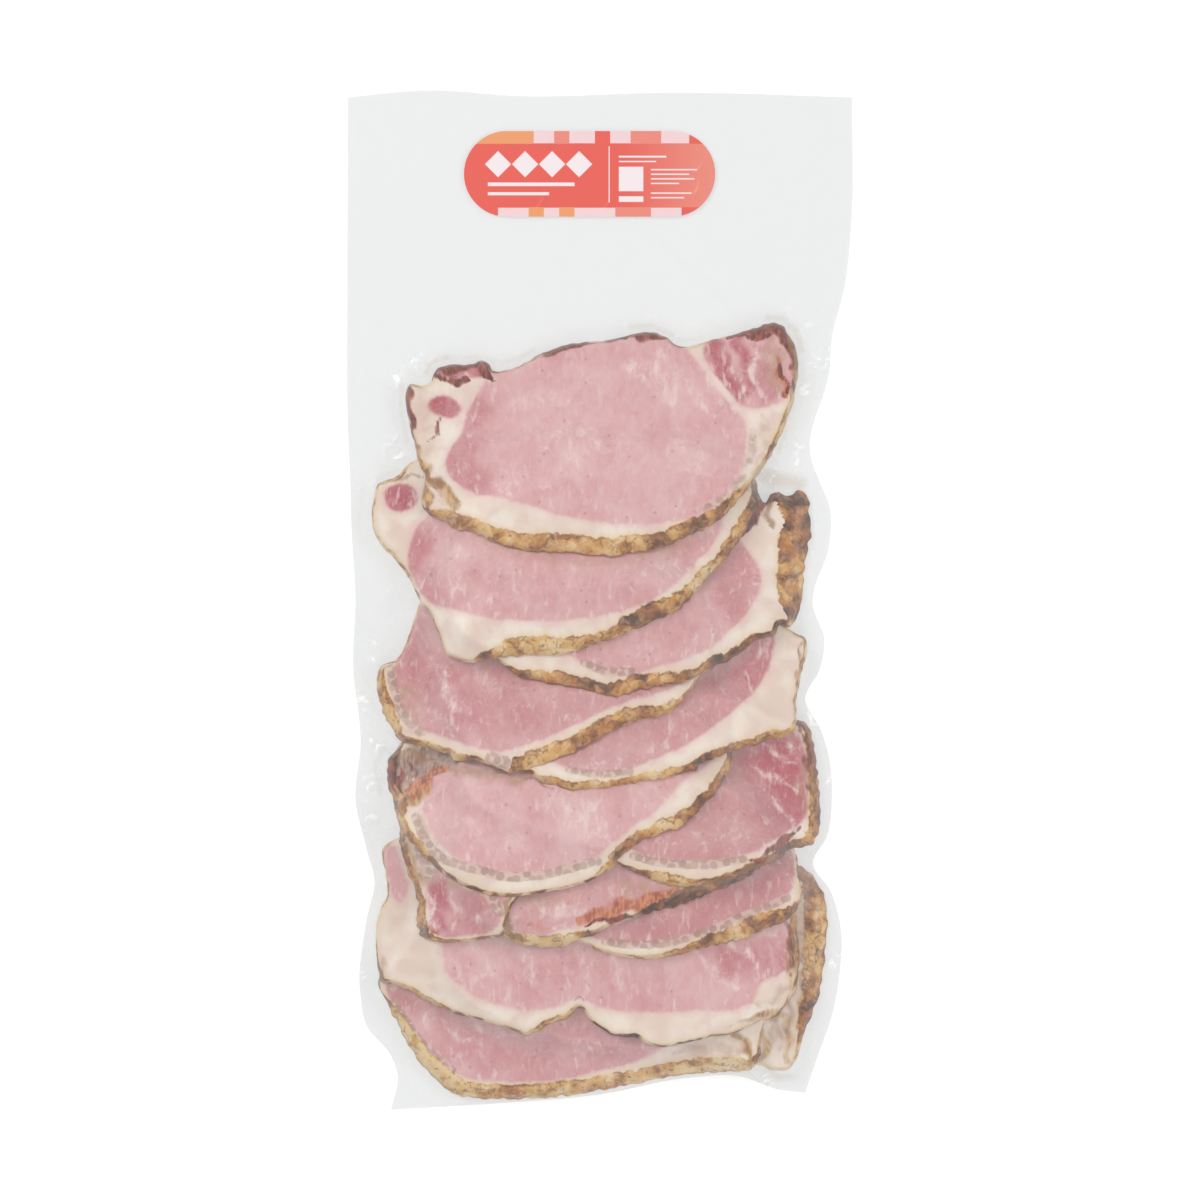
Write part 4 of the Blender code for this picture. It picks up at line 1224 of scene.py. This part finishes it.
def roughness(count, seed):
    """Small bumps round an outline, in millimetres."""
    generator = np.random.default_rng(seed)
    turn = np.linspace(0, 2 * np.pi, count, endpoint=False)
    bumps = np.zeros(count)
    for waves in range(30, 110, 4):
        bumps += generator.normal() * np.sin(waves * turn + generator.uniform(0, 6.3)) / math.sqrt(waves)
    return BUMP_HEIGHT * bumps / bumps.std()


def slice_outline(rows, middle):
    """The outline as one row for each spoke, anticlockwise from the point that is right of the middle."""
    line = smooth_closed(rows, SPOKES)
    line[:, :2] += outwards(line) * (roughness(SPOKES, len(rows)) * np.clip(line[:, 2] / 3, 0.3, 1))[:, None]
    ends = np.roll(line, -1, axis=0)
    if (line[:, 0] * ends[:, 1] - ends[:, 0] * line[:, 1]).sum() < 0:
        line = line[::-1]
    angle = np.arctan2(line[:, 1] - middle[1], line[:, 0] - middle[0])
    return np.roll(line, -int(np.argmin(np.abs(angle))), axis=0)


def spine_points(line, middle, reach):
    """Where each spoke heads for: the nearest point of a short line through the middle, along X."""
    x = middle[0] + np.clip(line[:, 0] - middle[0], -reach, reach) * 0.999
    return np.stack([x, np.full(x.shape, float(middle[1]))], axis=1)


def disc_places(line, middle, reach, shares, underside):
    """X and Y of all the blank's points: out of the middle, then straight to the outline."""
    heads = spine_points(line, middle, reach)[SPOKE]
    share = np.where(ON_TOP, shares[RING, SPOKE], underside)[:, None]
    target = np.array(middle, float) + (heads - middle) * (1 - share**3)
    places = line[SPOKE, :2] + share * (target - line[SPOKE, :2])
    return places[:, 0], places[:, 1]


def relaxed(x, y):
    """Evens out the rings that are far from the rim, so that no face folds over its neighbour."""
    places = np.zeros((TOP_RINGS + 1, SPOKES, 2))
    places[RING[ON_TOP], SPOKE[ON_TOP]] = np.stack([x, y], axis=1)[ON_TOP]
    places[TOP_RINGS] = np.stack([x, y], axis=1)[ON_TOP & (RING == TOP_RINGS)][0]
    first = FIRST_LOOSE_RING
    for _ in range(RELAXING_ROUNDS):
        inner = places[first:-1]
        beside = np.roll(inner, 1, axis=1) + np.roll(inner, -1, axis=1)
        places[first:-1] = (beside + places[first - 1:-2] + places[first + 1:]) / 4
    new = places[np.minimum(RING, TOP_RINGS), SPOKE]
    return np.where(ON_TOP, new[:, 0], x), np.where(ON_TOP, new[:, 1], y)


def ring_shares(line, middle, reach):
    """How far along its spoke each ring is, from 0 at the rim to 1 in the middle."""
    spokes = spine_points(line, middle, reach) - line[:, :2]
    length = np.linalg.norm(spokes, axis=1)
    slant = np.clip(-(spokes * outwards(line)).sum(1) / length, 0.4, 1)
    for _ in range(16):
        slant = (np.roll(slant, 1) + slant + np.roll(slant, -1)) / 3
    near_rim = RIM_RINGS[:, None] / slant / length
    near_rim = near_rim * np.minimum(1, 0.6 / near_rim[-1])
    rest = np.linspace(0, 1, TOP_RINGS + 2 - len(RIM_RINGS))[1:, None]
    return np.vstack([near_rim, near_rim[-1] + (1 - near_rim[-1]) * rest])


def along_line(x, y, line):
    """How far along and beside an open line each point is."""
    _, number = nearest(x, y, line, closed=False)
    start, end = line[number], line[number + 1]
    run = end - start
    length = np.linalg.norm(run, axis=1)
    forward = ((x - start[:, 0]) * run[:, 0] + (y - start[:, 1]) * run[:, 1]) / length
    beside = (run[:, 0] * (y - start[:, 1]) - run[:, 1] * (x - start[:, 0])) / length
    return walk(line)[number] + forward, beside


def wavering(x, y):
    """Places pushed about by up to a millimetre or so, so that no painted line is even."""
    return (
        x + 0.8 * np.sin(y / 1.7 + np.sin(x / 3.1)) + 0.5 * np.sin(x / 1.3 + y / 2.3),
        y + 0.8 * np.sin(x / 1.9 + np.sin(y / 2.7)) + 0.5 * np.sin(y / 1.1 - x / 2.1),
    )


def paint_marks(x, y, marks):
    """The painted marks as numbers from 0 to 1, one list for each kind. Their ends taper."""
    painted = {kind: np.zeros(x.shape) for kind in (*MARKS, "jelly_along", "jelly_beside")}
    for kind, strength, width, line in marks:
        line = np.array(line, float)
        here = (x, y) if kind == "jelly" else wavering(x, y)
        away, _ = nearest(*here, line, closed=False)
        along, beside = along_line(*here, line)
        share = np.clip(along / walk(line)[-1], 0, 1)
        taper = 1 if kind in ("jelly", "red") else 0.45 + 0.55 * np.sin(np.pi * share)
        amount = strength * ease(1.25 - away / (1.3 * width * taper))
        if kind == "jelly":
            stronger = amount > painted[kind]
            painted["jelly_along"] = np.where(stronger, along, painted["jelly_along"])
            painted["jelly_beside"] = np.where(stronger, beside + BEAD / 2, painted["jelly_beside"])
        painted[kind] = np.maximum(painted[kind], amount)
    return painted


def write_points(mesh, x, y, z):
    """Moves a mesh's points to places in millimetres."""
    mesh.vertices.foreach_set("co", (np.stack([x, y, z], axis=1) * MM).ravel())


def write_numbers(mesh, numbers):
    """Writes named numbers on a mesh's points, for its material to read."""
    for kind, values in numbers.items():
        values = np.broadcast_to(values, len(mesh.vertices)).astype(np.float32)
        mesh.attributes.new(kind, "FLOAT", "POINT").data.foreach_set("value", values)


def make_slice(name, plan, pile, seed):
    """Draws out one slice on the pile, and returns it with the pile's new height map."""
    middle = plan["middle"]
    line = slice_outline(plan["outline"], middle)
    reach = 0.3 * (line[:, 0].max() - line[:, 0].min())
    x, y = relaxed(*disc_places(line, middle, reach, ring_shares(line, middle, reach), RING / UNDER_RINGS))
    rim, number = nearest(x, y, line)
    width, tone = line[number, 2], line[number, 3]
    bed = drape(pile, DRAPING_ROUNDS) + BETWEEN_SLICES
    swell = unevenness(x, y, seed) * ease(rim / SWELL_START)
    z = height_at(bed, x, y) + np.where(ON_TOP, thickness_at(rim, width) + swell, 0)

    everything_deselected()
    made = bpy.data.objects.new("slice_" + name, blank.data.copy())
    bpy.context.scene.collection.objects.link(made)
    mesh = made.data
    write_points(mesh, x, y, pressed(z))
    lean = np.max([depth_inside(x, y, smooth_closed(shape, LEAN_POINTS)) for shape in plan["lean"]], axis=0)
    write_numbers(mesh, {"rim": rim, "lean": lean, "rind_width": width, "rind_tone": tone})
    write_numbers(mesh, {"seed": seed * 0.05, "blush": plan["blush"], **paint_marks(x, y, plan["marks"])})
    mesh.materials.clear()
    mesh.materials.append(PORK)
    mesh.update()
    made.select_set(True)
    bpy.context.view_layer.objects.active = made
    bpy.ops.object.shade_smooth()

    away, number = nearest(map_x, map_y, line)
    covered = is_inside(map_x, map_y, line)
    swell = unevenness(map_x, map_y, seed) * ease(away / SWELL_START)
    top = bed + thickness_at(away, line[number, 2]) + swell
    return made, np.where(covered, np.maximum(top, pile), pile)


pile = np.full(map_x.shape, BACK_FILM)
slices = []
for number, (name, plan) in enumerate(SLICES.items()):
    made, pile = make_slice(name, plan, pile, number + 1)
    slices.append(made)
bpy.data.objects.remove(blank)
print("the pile is", pressed(pile).max().round(1), "mm high,", pile.max().round(1), "before the press")

# %% [markdown]
# ## The pouch's outline
# The pouch is two films, sealed all round. Where the vacuum draws the film down between the slices, its
# sides come in, so each side is a wavy line. The four lines are the same as in the CAD model.

# %% Pouch outline
LEFT_EDGE = (
    (198, -99), (125, -99.2), (70, -99), (45, -98), (27, -97.5), (0, -96), (-24, -97), (-57, -94), (-78, -96),
    (-98, -91.5), (-110, -88.5), (-125, -91.5), (-155, -94), (-168, -91), (-178, -82.5), (-186, -79.5),
    (-200, -82),
)
RIGHT_EDGE = (
    (198, 99), (150, 98.7), (121, 95.5), (106, 91.5), (90, 90), (55, 83), (47, 86), (35, 90.5), (22, 90),
    (-2, 83.5), (-16, 88), (-28, 86), (-39, 80.5), (-51, 86.5), (-80, 91), (-94, 89), (-105, 83.5),
    (-115, 90), (-128, 94), (-150, 94), (-169, 90.5), (-181, 86.5), (-200, 80.5),
)
TOP_EDGE = ((-99, 197.3), (-68, 200), (-31, 197.8), (30, 199.2), (99, 197.3))
BOTTOM_EDGE = ((-82, -200), (-40, -197.5), (0, -194), (35, -187.5), (55, -187), (70, -192), (81, -193.5))
HALF_LENGTH = 200


def smooth_line(points, at):
    """Reads a smooth curve through (position, value) points."""
    place, value = np.array(sorted(points), float).T
    slope = np.gradient(value, place)
    at = np.clip(at, place[0], place[-1])
    i = np.clip(np.searchsorted(place, at) - 1, 0, len(place) - 2)
    run = place[i + 1] - place[i]
    t = (at - place[i]) / run
    return (
        (2 * t**3 - 3 * t**2 + 1) * value[i]
        + (t**3 - 2 * t**2 + t) * run * slope[i]
        + (3 * t**2 - 2 * t**3) * value[i + 1]
        + (t**3 - t**2) * run * slope[i + 1]
    )


def pouch_places(across, along):
    """X and Y on the pouch for shares from 0 to 1: across from left to right, along from foot to top."""
    y = (2 * along - 1) * HALF_LENGTH
    left, right = smooth_line(LEFT_EDGE, y), smooth_line(RIGHT_EDGE, y)
    x = left + across * (right - left)
    y = y + (1 - along) ** 6 * (smooth_line(BOTTOM_EDGE, x) + HALF_LENGTH)
    return x, y + along**6 * (smooth_line(TOP_EDGE, x) - HALF_LENGTH)


waist = smooth_line(RIGHT_EDGE, 0) - smooth_line(LEFT_EDGE, 0)
print("the pouch is", waist.round(1), "mm wide in the middle")

# %% [markdown]
# ## The film's form
# The front film is shrunk on the slices like a tight skin. It bridges the steps between slices, comes down
# beside them to the sealed rim, and lies flat in the header. On its way down it has more film than it needs,
# so it gathers in folds that run out from the slices to the sides. Where a slice's corner stands up, the film
# makes a small tent with creases that run into the header.

# %% Film heights and folds
FLAT_FILM = 0.8
SEALED_FILM = 0.45
FILM_BACK = 0.05
FILM_GAP = 0.35
CRINKLE_HEIGHT = 0.6
BRIDGING_ROUNDS = 14
SMALL_FOLDS = 150
FOLD_SEED = 5
FOLDS = (
    (((21, 105), (21.5, 109), (22, 114)), 1.6, 1.6),
    (((13, 104), (10, 110), (6, 117)), 0.8, 1.2),
    (((30, 101), (38, 108), (46, 114)), 0.7, 1.3),
    (((70, 108), (74, 113), (79, 119)), 1.1, 1.4),
    (((75, 103), (81, 107), (88, 110)), 1.0, 1.2),
    (((78, 92), (83, 93), (88, 95)), 0.9, 1.2),
    (((77, 84), (81, 82), (86, 78)), 0.8, 1.2),
    (((-66, 89), (-72, 94), (-80, 99)), 0.9, 1.3),
    (((-75, 84), (-82, 86), (-91, 87)), 0.9, 1.3),
    (((-44, 93), (-48, 100), (-53, 108)), 0.6, 1.4),
    (((-72, 52), (-80, 53), (-92, 55)), 1.0, 1.5),
    (((-88, 44), (-92, 47), (-96, 52)), 0.8, 1.2),
    (((-88, 30), (-92, 28), (-96, 24)), 0.8, 1.2),
    (((-76, 8), (-84, 2), (-93, -4)), 1.1, 1.6),
    (((-70, -4), (-80, -8), (-92, -10)), 0.9, 1.5),
    (((-84, -26), (-89, -24), (-95, -22)), 0.8, 1.2),
    (((-80, -54), (-86, -55), (-92, -57)), 0.9, 1.4),
    (((-83, -68), (-88, -70), (-94, -72)), 0.7, 1.2),
    (((-80, -86), (-85, -90), (-91, -95)), 0.9, 1.3),
    (((-84, -104), (-86, -108), (-88, -111)), 0.8, 1.2),
    (((-88, -126), (-90, -127), (-92, -128)), 0.6, 1.0),
    (((-84, -152), (-88, -156), (-92, -160)), 0.8, 1.2),
    (((-76, -172), (-79, -176), (-81, -180)), 0.8, 1.2),
    (((-66, -187), (-70, -192), (-74, -197)), 0.9, 1.3),
    (((-46, -195), (-47, -197), (-48, -198)), 0.5, 1.0),
    (((62, -180), (68, -184), (74, -190)), 1.0, 1.4),
    (((75, -184), (77, -188), (79, -192)), 0.9, 1.2),
    (((80, -172), (84, -174), (87, -177)), 0.8, 1.2),
    (((86, -156), (89, -158), (92, -160)), 0.7, 1.0),
    (((89, -122), (91, -121), (93, -119)), 0.6, 1.0),
    (((78, -116), (81, -111), (84, -106)), 0.9, 1.2),
    (((84, -95), (86, -99), (85, -104)), 0.8, 1.1),
    (((82, -48), (83, -44), (82, -40)), 0.9, 1.1),
    (((78, -33), (80, -36), (81, -40)), 0.7, 1.0),
    (((81, -16), (84, -14), (87, -14)), 0.7, 1.0),
    (((78, -6), (81, -3), (83, -1)), 0.8, 1.0),
    (((82, 30), (86, 33), (90, 35)), 0.7, 1.1),
    (((72, 62), (78, 60), (84, 57)), 0.9, 1.3),
    (((68, 56), (76, 52), (85, 48)), 0.9, 1.4),
    (((64, 48), (70, 46), (78, 45)), 0.7, 1.2),
)


def widest(heights):
    """The highest value in each spot's neighbourhood."""
    padded = np.pad(heights, 1, mode="edge")
    rows = np.maximum(np.maximum(padded[:-2], padded[1:-1]), padded[2:])
    return np.maximum(np.maximum(rows[:, :-2], rows[:, 1:-1]), rows[:, 2:])


def folds_at(x, y, places):
    """The height of the film's folds: each is a ridge that fades out at both ends."""
    total = np.zeros(x.shape)
    for line, height, width in places:
        line = np.array(line, float)
        low, high = line.min(axis=0) - 3 * width, line.max(axis=0) + 3 * width
        near = (x > low[0]) & (x < high[0]) & (y > low[1]) & (y < high[1])
        away, _ = nearest(x[near], y[near], line, closed=False)
        run = line[-1] - line[0]
        share = ((x[near] - line[0, 0]) * run[0] + (y[near] - line[0, 1]) * run[1]) / (run**2).sum()
        fade = ease(share * 3) * ease((1 - share) * 3)
        total[near] += height * np.exp(-((away / width) ** 2)) * fade
    return total


def side_folds(generator, count):
    """Many small folds in the strip of film beside the slices, with their heights and widths."""
    made = []
    for _ in range(count):
        along = generator.uniform(0.02, 0.78)
        right = generator.random() < 0.5
        x, y = pouch_places(np.array(0.985 if right else 0.015), np.array(along))
        inwards = -1 if right else 1
        reach = generator.uniform(4, 11)
        lean = generator.normal(0, 0.7)
        start = (float(x), float(y))
        end = (start[0] + inwards * reach, start[1] + lean * reach)
        made.append(((start, end), generator.uniform(0.25, 0.7), generator.uniform(0.6, 1.1)))
    return made


def film_heights(x, y):
    """The front film's height in millimetres."""
    skin = soften(drape(widest(pressed(pile)) + FILM_GAP, BRIDGING_ROUNDS), 2)
    base = np.maximum(height_at(skin, x, y), FLAT_FILM)
    generator = np.random.default_rng(FOLD_SEED)
    return base + folds_at(x, y, FOLDS) + folds_at(x, y, side_folds(generator, SMALL_FOLDS))


print(len(FOLDS), "folds drawn by hand")

# %% [markdown]
# ## The film's finish
# Clear film shows what is behind it and a little of itself: a cool grey cast, a soft sheen where it faces
# the lights, and a brighter sheen where it is seen edge-on. So the finish is mostly transparent, with a
# smooth glossy share that grows at a slant. Where the film is crinkled it carries painted glints, a whiter
# and more opaque colour. Beside the slices it is beige grey where fat is smudged on it, and it carries
# painted shade along the slices' edges where the film stands away from them.

# %% The film's material
FILM_TINT = (0.918, 0.92, 0.92, 1)
FILM_HAZE = screen_colour(230, 233, 232)
# The colour of painted glints on crinkled film.
FILM_SHINE = screen_colour(252, 252, 252)
# Beige grey, for fat smudged on the film and for painted shade beside the slices.
FILM_SMEAR_AND_SHADE = screen_colour(204, 192, 179)


def make_film_finish():
    """Transparent with a glossy share, painted glints on crinkled film, fat smudges and painted shade by the
    slices.
    """
    finish, tree = new_finish("clear_film")
    gloss = tree.nodes["Principled BSDF"]
    gloss.inputs["Roughness"].default_value = 0.16
    gloss.inputs["IOR"].default_value = 1.5
    crinkle_glint = reading(tree, "crinkle_glint")
    smear_and_shade = reading(tree, "smear_and_shade")
    # Painted glints: where the film is crinkled its colour turns near white, and below its opaque share
    # grows.
    cast = blend_colours(tree, step(tree, crinkle_glint, 0, 0.6), FILM_HAZE, FILM_SHINE)
    cast = blend_colours(tree, step(tree, smear_and_shade, 0, 0.4), cast, FILM_SMEAR_AND_SHADE)
    tree.links.new(cast, gloss.inputs["Base Color"])
    facing = tree.nodes.new("ShaderNodeLayerWeight")
    facing.inputs["Blend"].default_value = 0.35
    share = calc(tree, "ADD", calc(tree, "MULTIPLY", facing.outputs["Facing"], 0.3), 0.05)
    share = calc(tree, "ADD", share, calc(tree, "MULTIPLY", crinkle_glint, 0.6))
    share = calc(tree, "ADD", share, calc(tree, "MULTIPLY", smear_and_shade, 0.5), clamp=True)
    clear = tree.nodes.new("ShaderNodeBsdfTransparent")
    clear.inputs["Color"].default_value = FILM_TINT
    mixed = tree.nodes.new("ShaderNodeMixShader")
    tree.links.new(share, mixed.inputs[0])
    tree.links.new(clear.outputs[0], mixed.inputs[1])
    tree.links.new(gloss.outputs[0], mixed.inputs[2])
    tree.links.new(mixed.outputs[0], tree.nodes["Material Output"].inputs["Surface"])
    return finish


FILM = make_film_finish()
print("the film's finish:", [node.name for node in FILM.node_tree.nodes][:6])

# %% [markdown]
# ## The film as a mesh
# A fine grid is the front. Its rim is extruded down to make the back, which lies on the floor, so the pouch
# is one closed skin. Then the grid's points are moved onto the film's form.

# %% Model the film
FILM_COLUMNS = 230
FILM_ROWS = 400
CRINKLE_SEED = 11
SLACK_SPOTS = (
    (-91, -20, 6), (-94, -40, 5), (-91, -56, 8), (-90, -72, 8), (-88, -88, 6), (-79, 86, 5), (-74, 96, 6),
    (-80, 60, 6), (-93, 48, 5), (86, 96, 8), (83, 82, 6), (80, 112, 6), (76, 58, 6), (68, 48, 5),
    (84, -30, 4), (84, -46, 4), (88, -72, 4), (86, -98, 4), (92, -142, 4), (-91, -146, 4),
    (-82, -112, 4), (64, -188, 5),
)

# Fat smudges on the film, and painted shade along the slices' edges where the film stands away from them.
SMEARS_AND_SHADE = (
    (((-68, 89), (-67, 93.5), (-60, 95)), 0.5, 1.5),
    (((-60, 94.8), (-50, 95), (-41, 94)), 0.3, 1.5),
    (((-38, 93), (-32, 95), (-26, 98)), 0.35, 1.5),
    (((12, 107), (20, 107.5), (28, 104)), 0.4, 1.5),
    (((31, 101.5), (40, 102.5)), 0.3, 1.3),
    (((66, 110.5), (72, 110.5), (77, 105), (79, 98)), 0.5, 1.7),
    (((75, 76), (73, 68), (70, 59)), 0.45, 1.6),
    (((62, 49.5), (70, 47), (78, 46)), 0.9, 3.0),
    (((-78, 84), (-78, 74), (-76, 62)), 0.3, 1.6),
    (((-74, 53), (-80, 50), (-87, 47)), 0.3, 1.6),
    (((-84, -57), (-88, -64), (-86, -76)), 0.3, 1.6),
    (((66, -184), (70, -187), (76, -187)), 0.4, 1.8),
)


def smears_and_shade_at(x, y):
    """How much fat smudge and painted shade lie on the film beside the slices, from 0 to 1."""
    total = np.zeros(x.shape)
    for line, strength, width in SMEARS_AND_SHADE:
        away, _ = nearest(x, y, np.array(line, float), closed=False)
        total = np.maximum(total, strength * np.exp(-((away / width) ** 2)))
    return total


def crinkles(x, y):
    """Fine broken ridges, from 0 to 1, as in crumpled film."""
    generator = np.random.default_rng(CRINKLE_SEED)
    swells = soften(generator.normal(size=map_x.shape), 3)
    breaks = soften(generator.normal(size=map_x.shape), 6)
    ridge = np.clip(1 - abs(height_at(swells, x, y)) / (0.55 * swells.std()), 0, 1)
    return ridge * ease(height_at(breaks, x, y) / breaks.std() + 0.6)


def make_film():
    """A closed skin over the slices."""
    everything_deselected()
    bpy.ops.mesh.primitive_grid_add(x_subdivisions=FILM_COLUMNS, y_subdivisions=FILM_ROWS, size=1)
    skin = bpy.context.object
    skin.name = "film_pouch"
    bpy.ops.object.mode_set(mode="EDIT")
    bpy.ops.mesh.select_mode(type="EDGE")
    bpy.ops.mesh.select_all(action="DESELECT")
    bpy.ops.mesh.select_non_manifold()
    bpy.ops.mesh.extrude_edges_move(TRANSFORM_OT_translate={"value": (0, 0, -1)})
    bpy.ops.mesh.edge_face_add()
    bpy.ops.mesh.select_all(action="SELECT")
    bpy.ops.mesh.normals_make_consistent(inside=False)
    bpy.ops.object.mode_set(mode="OBJECT")
    places = np.array([vertex.co[:] for vertex in skin.data.vertices])
    x, y = pouch_places(places[:, 0] + 0.5, places[:, 1] + 0.5)
    from_rim = 0.5 - np.maximum(abs(places[:, 0]), abs(places[:, 1]))
    covered = height_at(soften((pile > BACK_FILM + 1).astype(float), 10), x, y)
    ridges = crinkles(x, y)
    slack = [ease(1.3 - np.hypot(x - at_x, y - at_y) / size) for at_x, at_y, size in SLACK_SPOTS]
    # Crinkles lift the film, and also say where painted glints go.
    crinkled_and_glinting = np.max(slack, axis=0) * (1 - covered) * ridges
    z = film_heights(x, y) + CRINKLE_HEIGHT * crinkled_and_glinting
    z = np.where(from_rim > 1e-4, z, SEALED_FILM)
    write_points(skin.data, x, y, np.where(places[:, 2] > -0.5, z, FILM_BACK))
    # Fat smudges and painted shade beside the slices, fainter over the meat and on the crinkles.
    smeared_and_shaded = smears_and_shade_at(x, y) * (1 - 0.6 * covered) * (1 - 0.5 * ridges)
    write_numbers(skin.data, {"crinkle_glint": crinkled_and_glinting, "smear_and_shade": smeared_and_shaded})
    skin.data.materials.append(FILM)
    skin.data.update()
    bpy.ops.object.shade_smooth_by_angle(angle=math.radians(60))
    return skin


film = make_film()
print("the film has", len(film.data.polygons), "faces and is", round(film.dimensions.z / MM, 1), "mm high")

# %% [markdown]
# ## The label
# A long sticker with round ends is stuck on the header. It is thin, so it takes the film's creases. Its
# print is plain: a coral field, pale and orange blocks along both edges, and white diamonds and bars where
# a name and small print would be.

# %% The label's print
LABEL_MIDDLE = (-4.1, 167.2)
LABEL_HALF = (49.3, 16.8)
CORAL = screen_colour(214, 90, 80)
PALE_PINK = screen_colour(224, 194, 196)
ORANGE = screen_colour(218, 146, 100)
WHITE = screen_colour(226, 214, 216)
SALMON = screen_colour(216, 128, 114)
PRINT_BLUR = 0.12
PALE_BANDS = ((179.2, 190), (140, 153.9))
TOP_BLOCK_SPAN = (179.0, 190)
FOOT_BLOCK_SPAN = (140, 154.1)
TOP_BLOCKS = ((-60, -26, ORANGE), (-18, -12, SALMON), (-2, 4, CORAL), (12, 24, SALMON), (35, 60, CORAL))
FOOT_BLOCKS = ((-60, -40, CORAL), (-28, -22, ORANGE), (-16, -10, ORANGE), (6, 20, SALMON), (32, 60, CORAL))
DIAMONDS = (-40, -29.4, -18.8, -8.2)
DIAMONDS_Y = 171
DIAMOND_REACH = 5.3
BARS = (
    (-44, -10, 162.4, 163.8), (-44, -20, 158.8, 160.0), (3.4, 3.8, 156, 178), (7.4, 17, 160.4, 170),
    (7.4, 17, 156.2, 158.4), (7.4, 26, 173.6, 174.3), (7.4, 22, 171.8, 172.3), (20, 38, 168.6, 169.1),
    (20, 35, 166.8, 167.3), (20, 37, 165, 165.5), (20, 31, 163.2, 163.7), (20, 36, 159.4, 159.9),
    (20, 33, 157.6, 158.1),
)


def span_share(tree, value, low, high):
    """1 between two values and 0 beyond them."""
    above = step(tree, value, low - PRINT_BLUR, low + PRINT_BLUR)
    return calc(tree, "MULTIPLY", above, step(tree, value, high + PRINT_BLUR, high - PRINT_BLUR))


def make_label_finish():
    """Plain fields of colour, from the label's own X and Y."""
    finish, tree = new_finish("label_print")
    shader = tree.nodes["Principled BSDF"]
    shader.inputs["Roughness"].default_value = 0.4
    split = tree.nodes.new("ShaderNodeSeparateXYZ")
    tree.links.new(object_places(tree), split.inputs[0])
    x = calc(tree, "DIVIDE", split.outputs["X"], MM)
    y = calc(tree, "DIVIDE", split.outputs["Y"], MM)

    def printed(below, paint, left, right, low, high):
        """Prints one rectangle."""
        return laid_over(tree, below, paint, span_share(tree, x, left, right), span_share(tree, y, low, high))

    colour = blend_colours(tree, step(tree, x, 4, 46), CORAL, SALMON)
    for band in PALE_BANDS:
        colour = printed(colour, PALE_PINK, -60, 60, *band)
    for blocks, span in ((TOP_BLOCKS, TOP_BLOCK_SPAN), (FOOT_BLOCKS, FOOT_BLOCK_SPAN)):
        for left, right, paint in blocks:
            colour = printed(colour, paint, left, right, *span)
    for middle in DIAMONDS:
        sideways = calc(tree, "ABSOLUTE", calc(tree, "SUBTRACT", x, middle))
        upwards = calc(tree, "ABSOLUTE", calc(tree, "SUBTRACT", y, DIAMONDS_Y))
        diamond = step(tree, calc(tree, "ADD", sideways, upwards), DIAMOND_REACH, DIAMOND_REACH - 0.3)
        colour = blend_colours(tree, diamond, colour, WHITE)
    for bar in BARS:
        colour = printed(colour, WHITE, *bar)
    tree.links.new(colour, shader.inputs["Base Color"])
    return finish


LABEL_PRINT = make_label_finish()
print("the label's finish has", len(LABEL_PRINT.node_tree.nodes), "nodes")

# %% Model the label
LABEL_GAP = 0.04
LABEL_THICKNESS = 0.12
CREASES = (
    (((36, 156), (39, 162), (40, 169)), 0.35, 0.8),
    (((43, 174), (38, 168), (43, 160)), 0.3, 0.7),
    (((-22, 184), (-20, 179), (-15, 174)), 0.3, 0.8),
    (((-12, 184), (-9, 178), (-3, 173)), 0.3, 0.8),
    (((-2, 183), (3, 178), (8, 170)), 0.25, 0.9),
    (((-26, 151), (-22, 157), (-21, 163)), 0.25, 0.8),
    (((0, 151), (4, 156), (5, 163)), 0.25, 0.8),
)


def make_label():
    """A disc drawn out to a strip with round ends, laid on the film."""
    disc = model_blank()
    disc.name = "label_strip"
    straight = LABEL_HALF[0] - LABEL_HALF[1]
    turn = np.linspace(-np.pi / 2, np.pi / 2, 25)
    right = np.stack([straight + LABEL_HALF[1] * np.cos(turn), LABEL_HALF[1] * np.sin(turn)], axis=1)
    corners = np.vstack([right, -right, right[:1]])
    walked = walk(corners)
    stops = (np.linspace(0, walked[-1], SPOKES, endpoint=False) + walked[12]) % walked[-1]
    line = np.stack([np.interp(stops, walked, column) for column in corners.T], axis=1) + LABEL_MIDDLE
    shares = np.linspace(0, 1, TOP_RINGS + 1)[:, None] * np.ones(SPOKES)
    x, y = disc_places(line, LABEL_MIDDLE, straight, shares, RING / UNDER_RINGS)
    z = FLAT_FILM + LABEL_GAP + np.where(ON_TOP, LABEL_THICKNESS, 0) + folds_at(x, y, CREASES)
    write_points(disc.data, x, y, z)
    disc.data.materials.append(LABEL_PRINT)
    disc.data.update()
    bpy.ops.object.shade_smooth_by_angle(angle=math.radians(40))
    return disc


label = make_label()
print("the label is", np.round(np.array(label.dimensions) / MM, 1).tolist(), "mm")

# %% [markdown]
# ## The body
# The film and the slices stand in for the CAD model's pouch, and the strip for its label. Everything lies on
# the one body.

# %% Hidden parts and body
for piece in slices:
    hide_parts("pouch")
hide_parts("pouch")
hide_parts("label")
for piece in (*slices, film, label):
    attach(piece, "root")
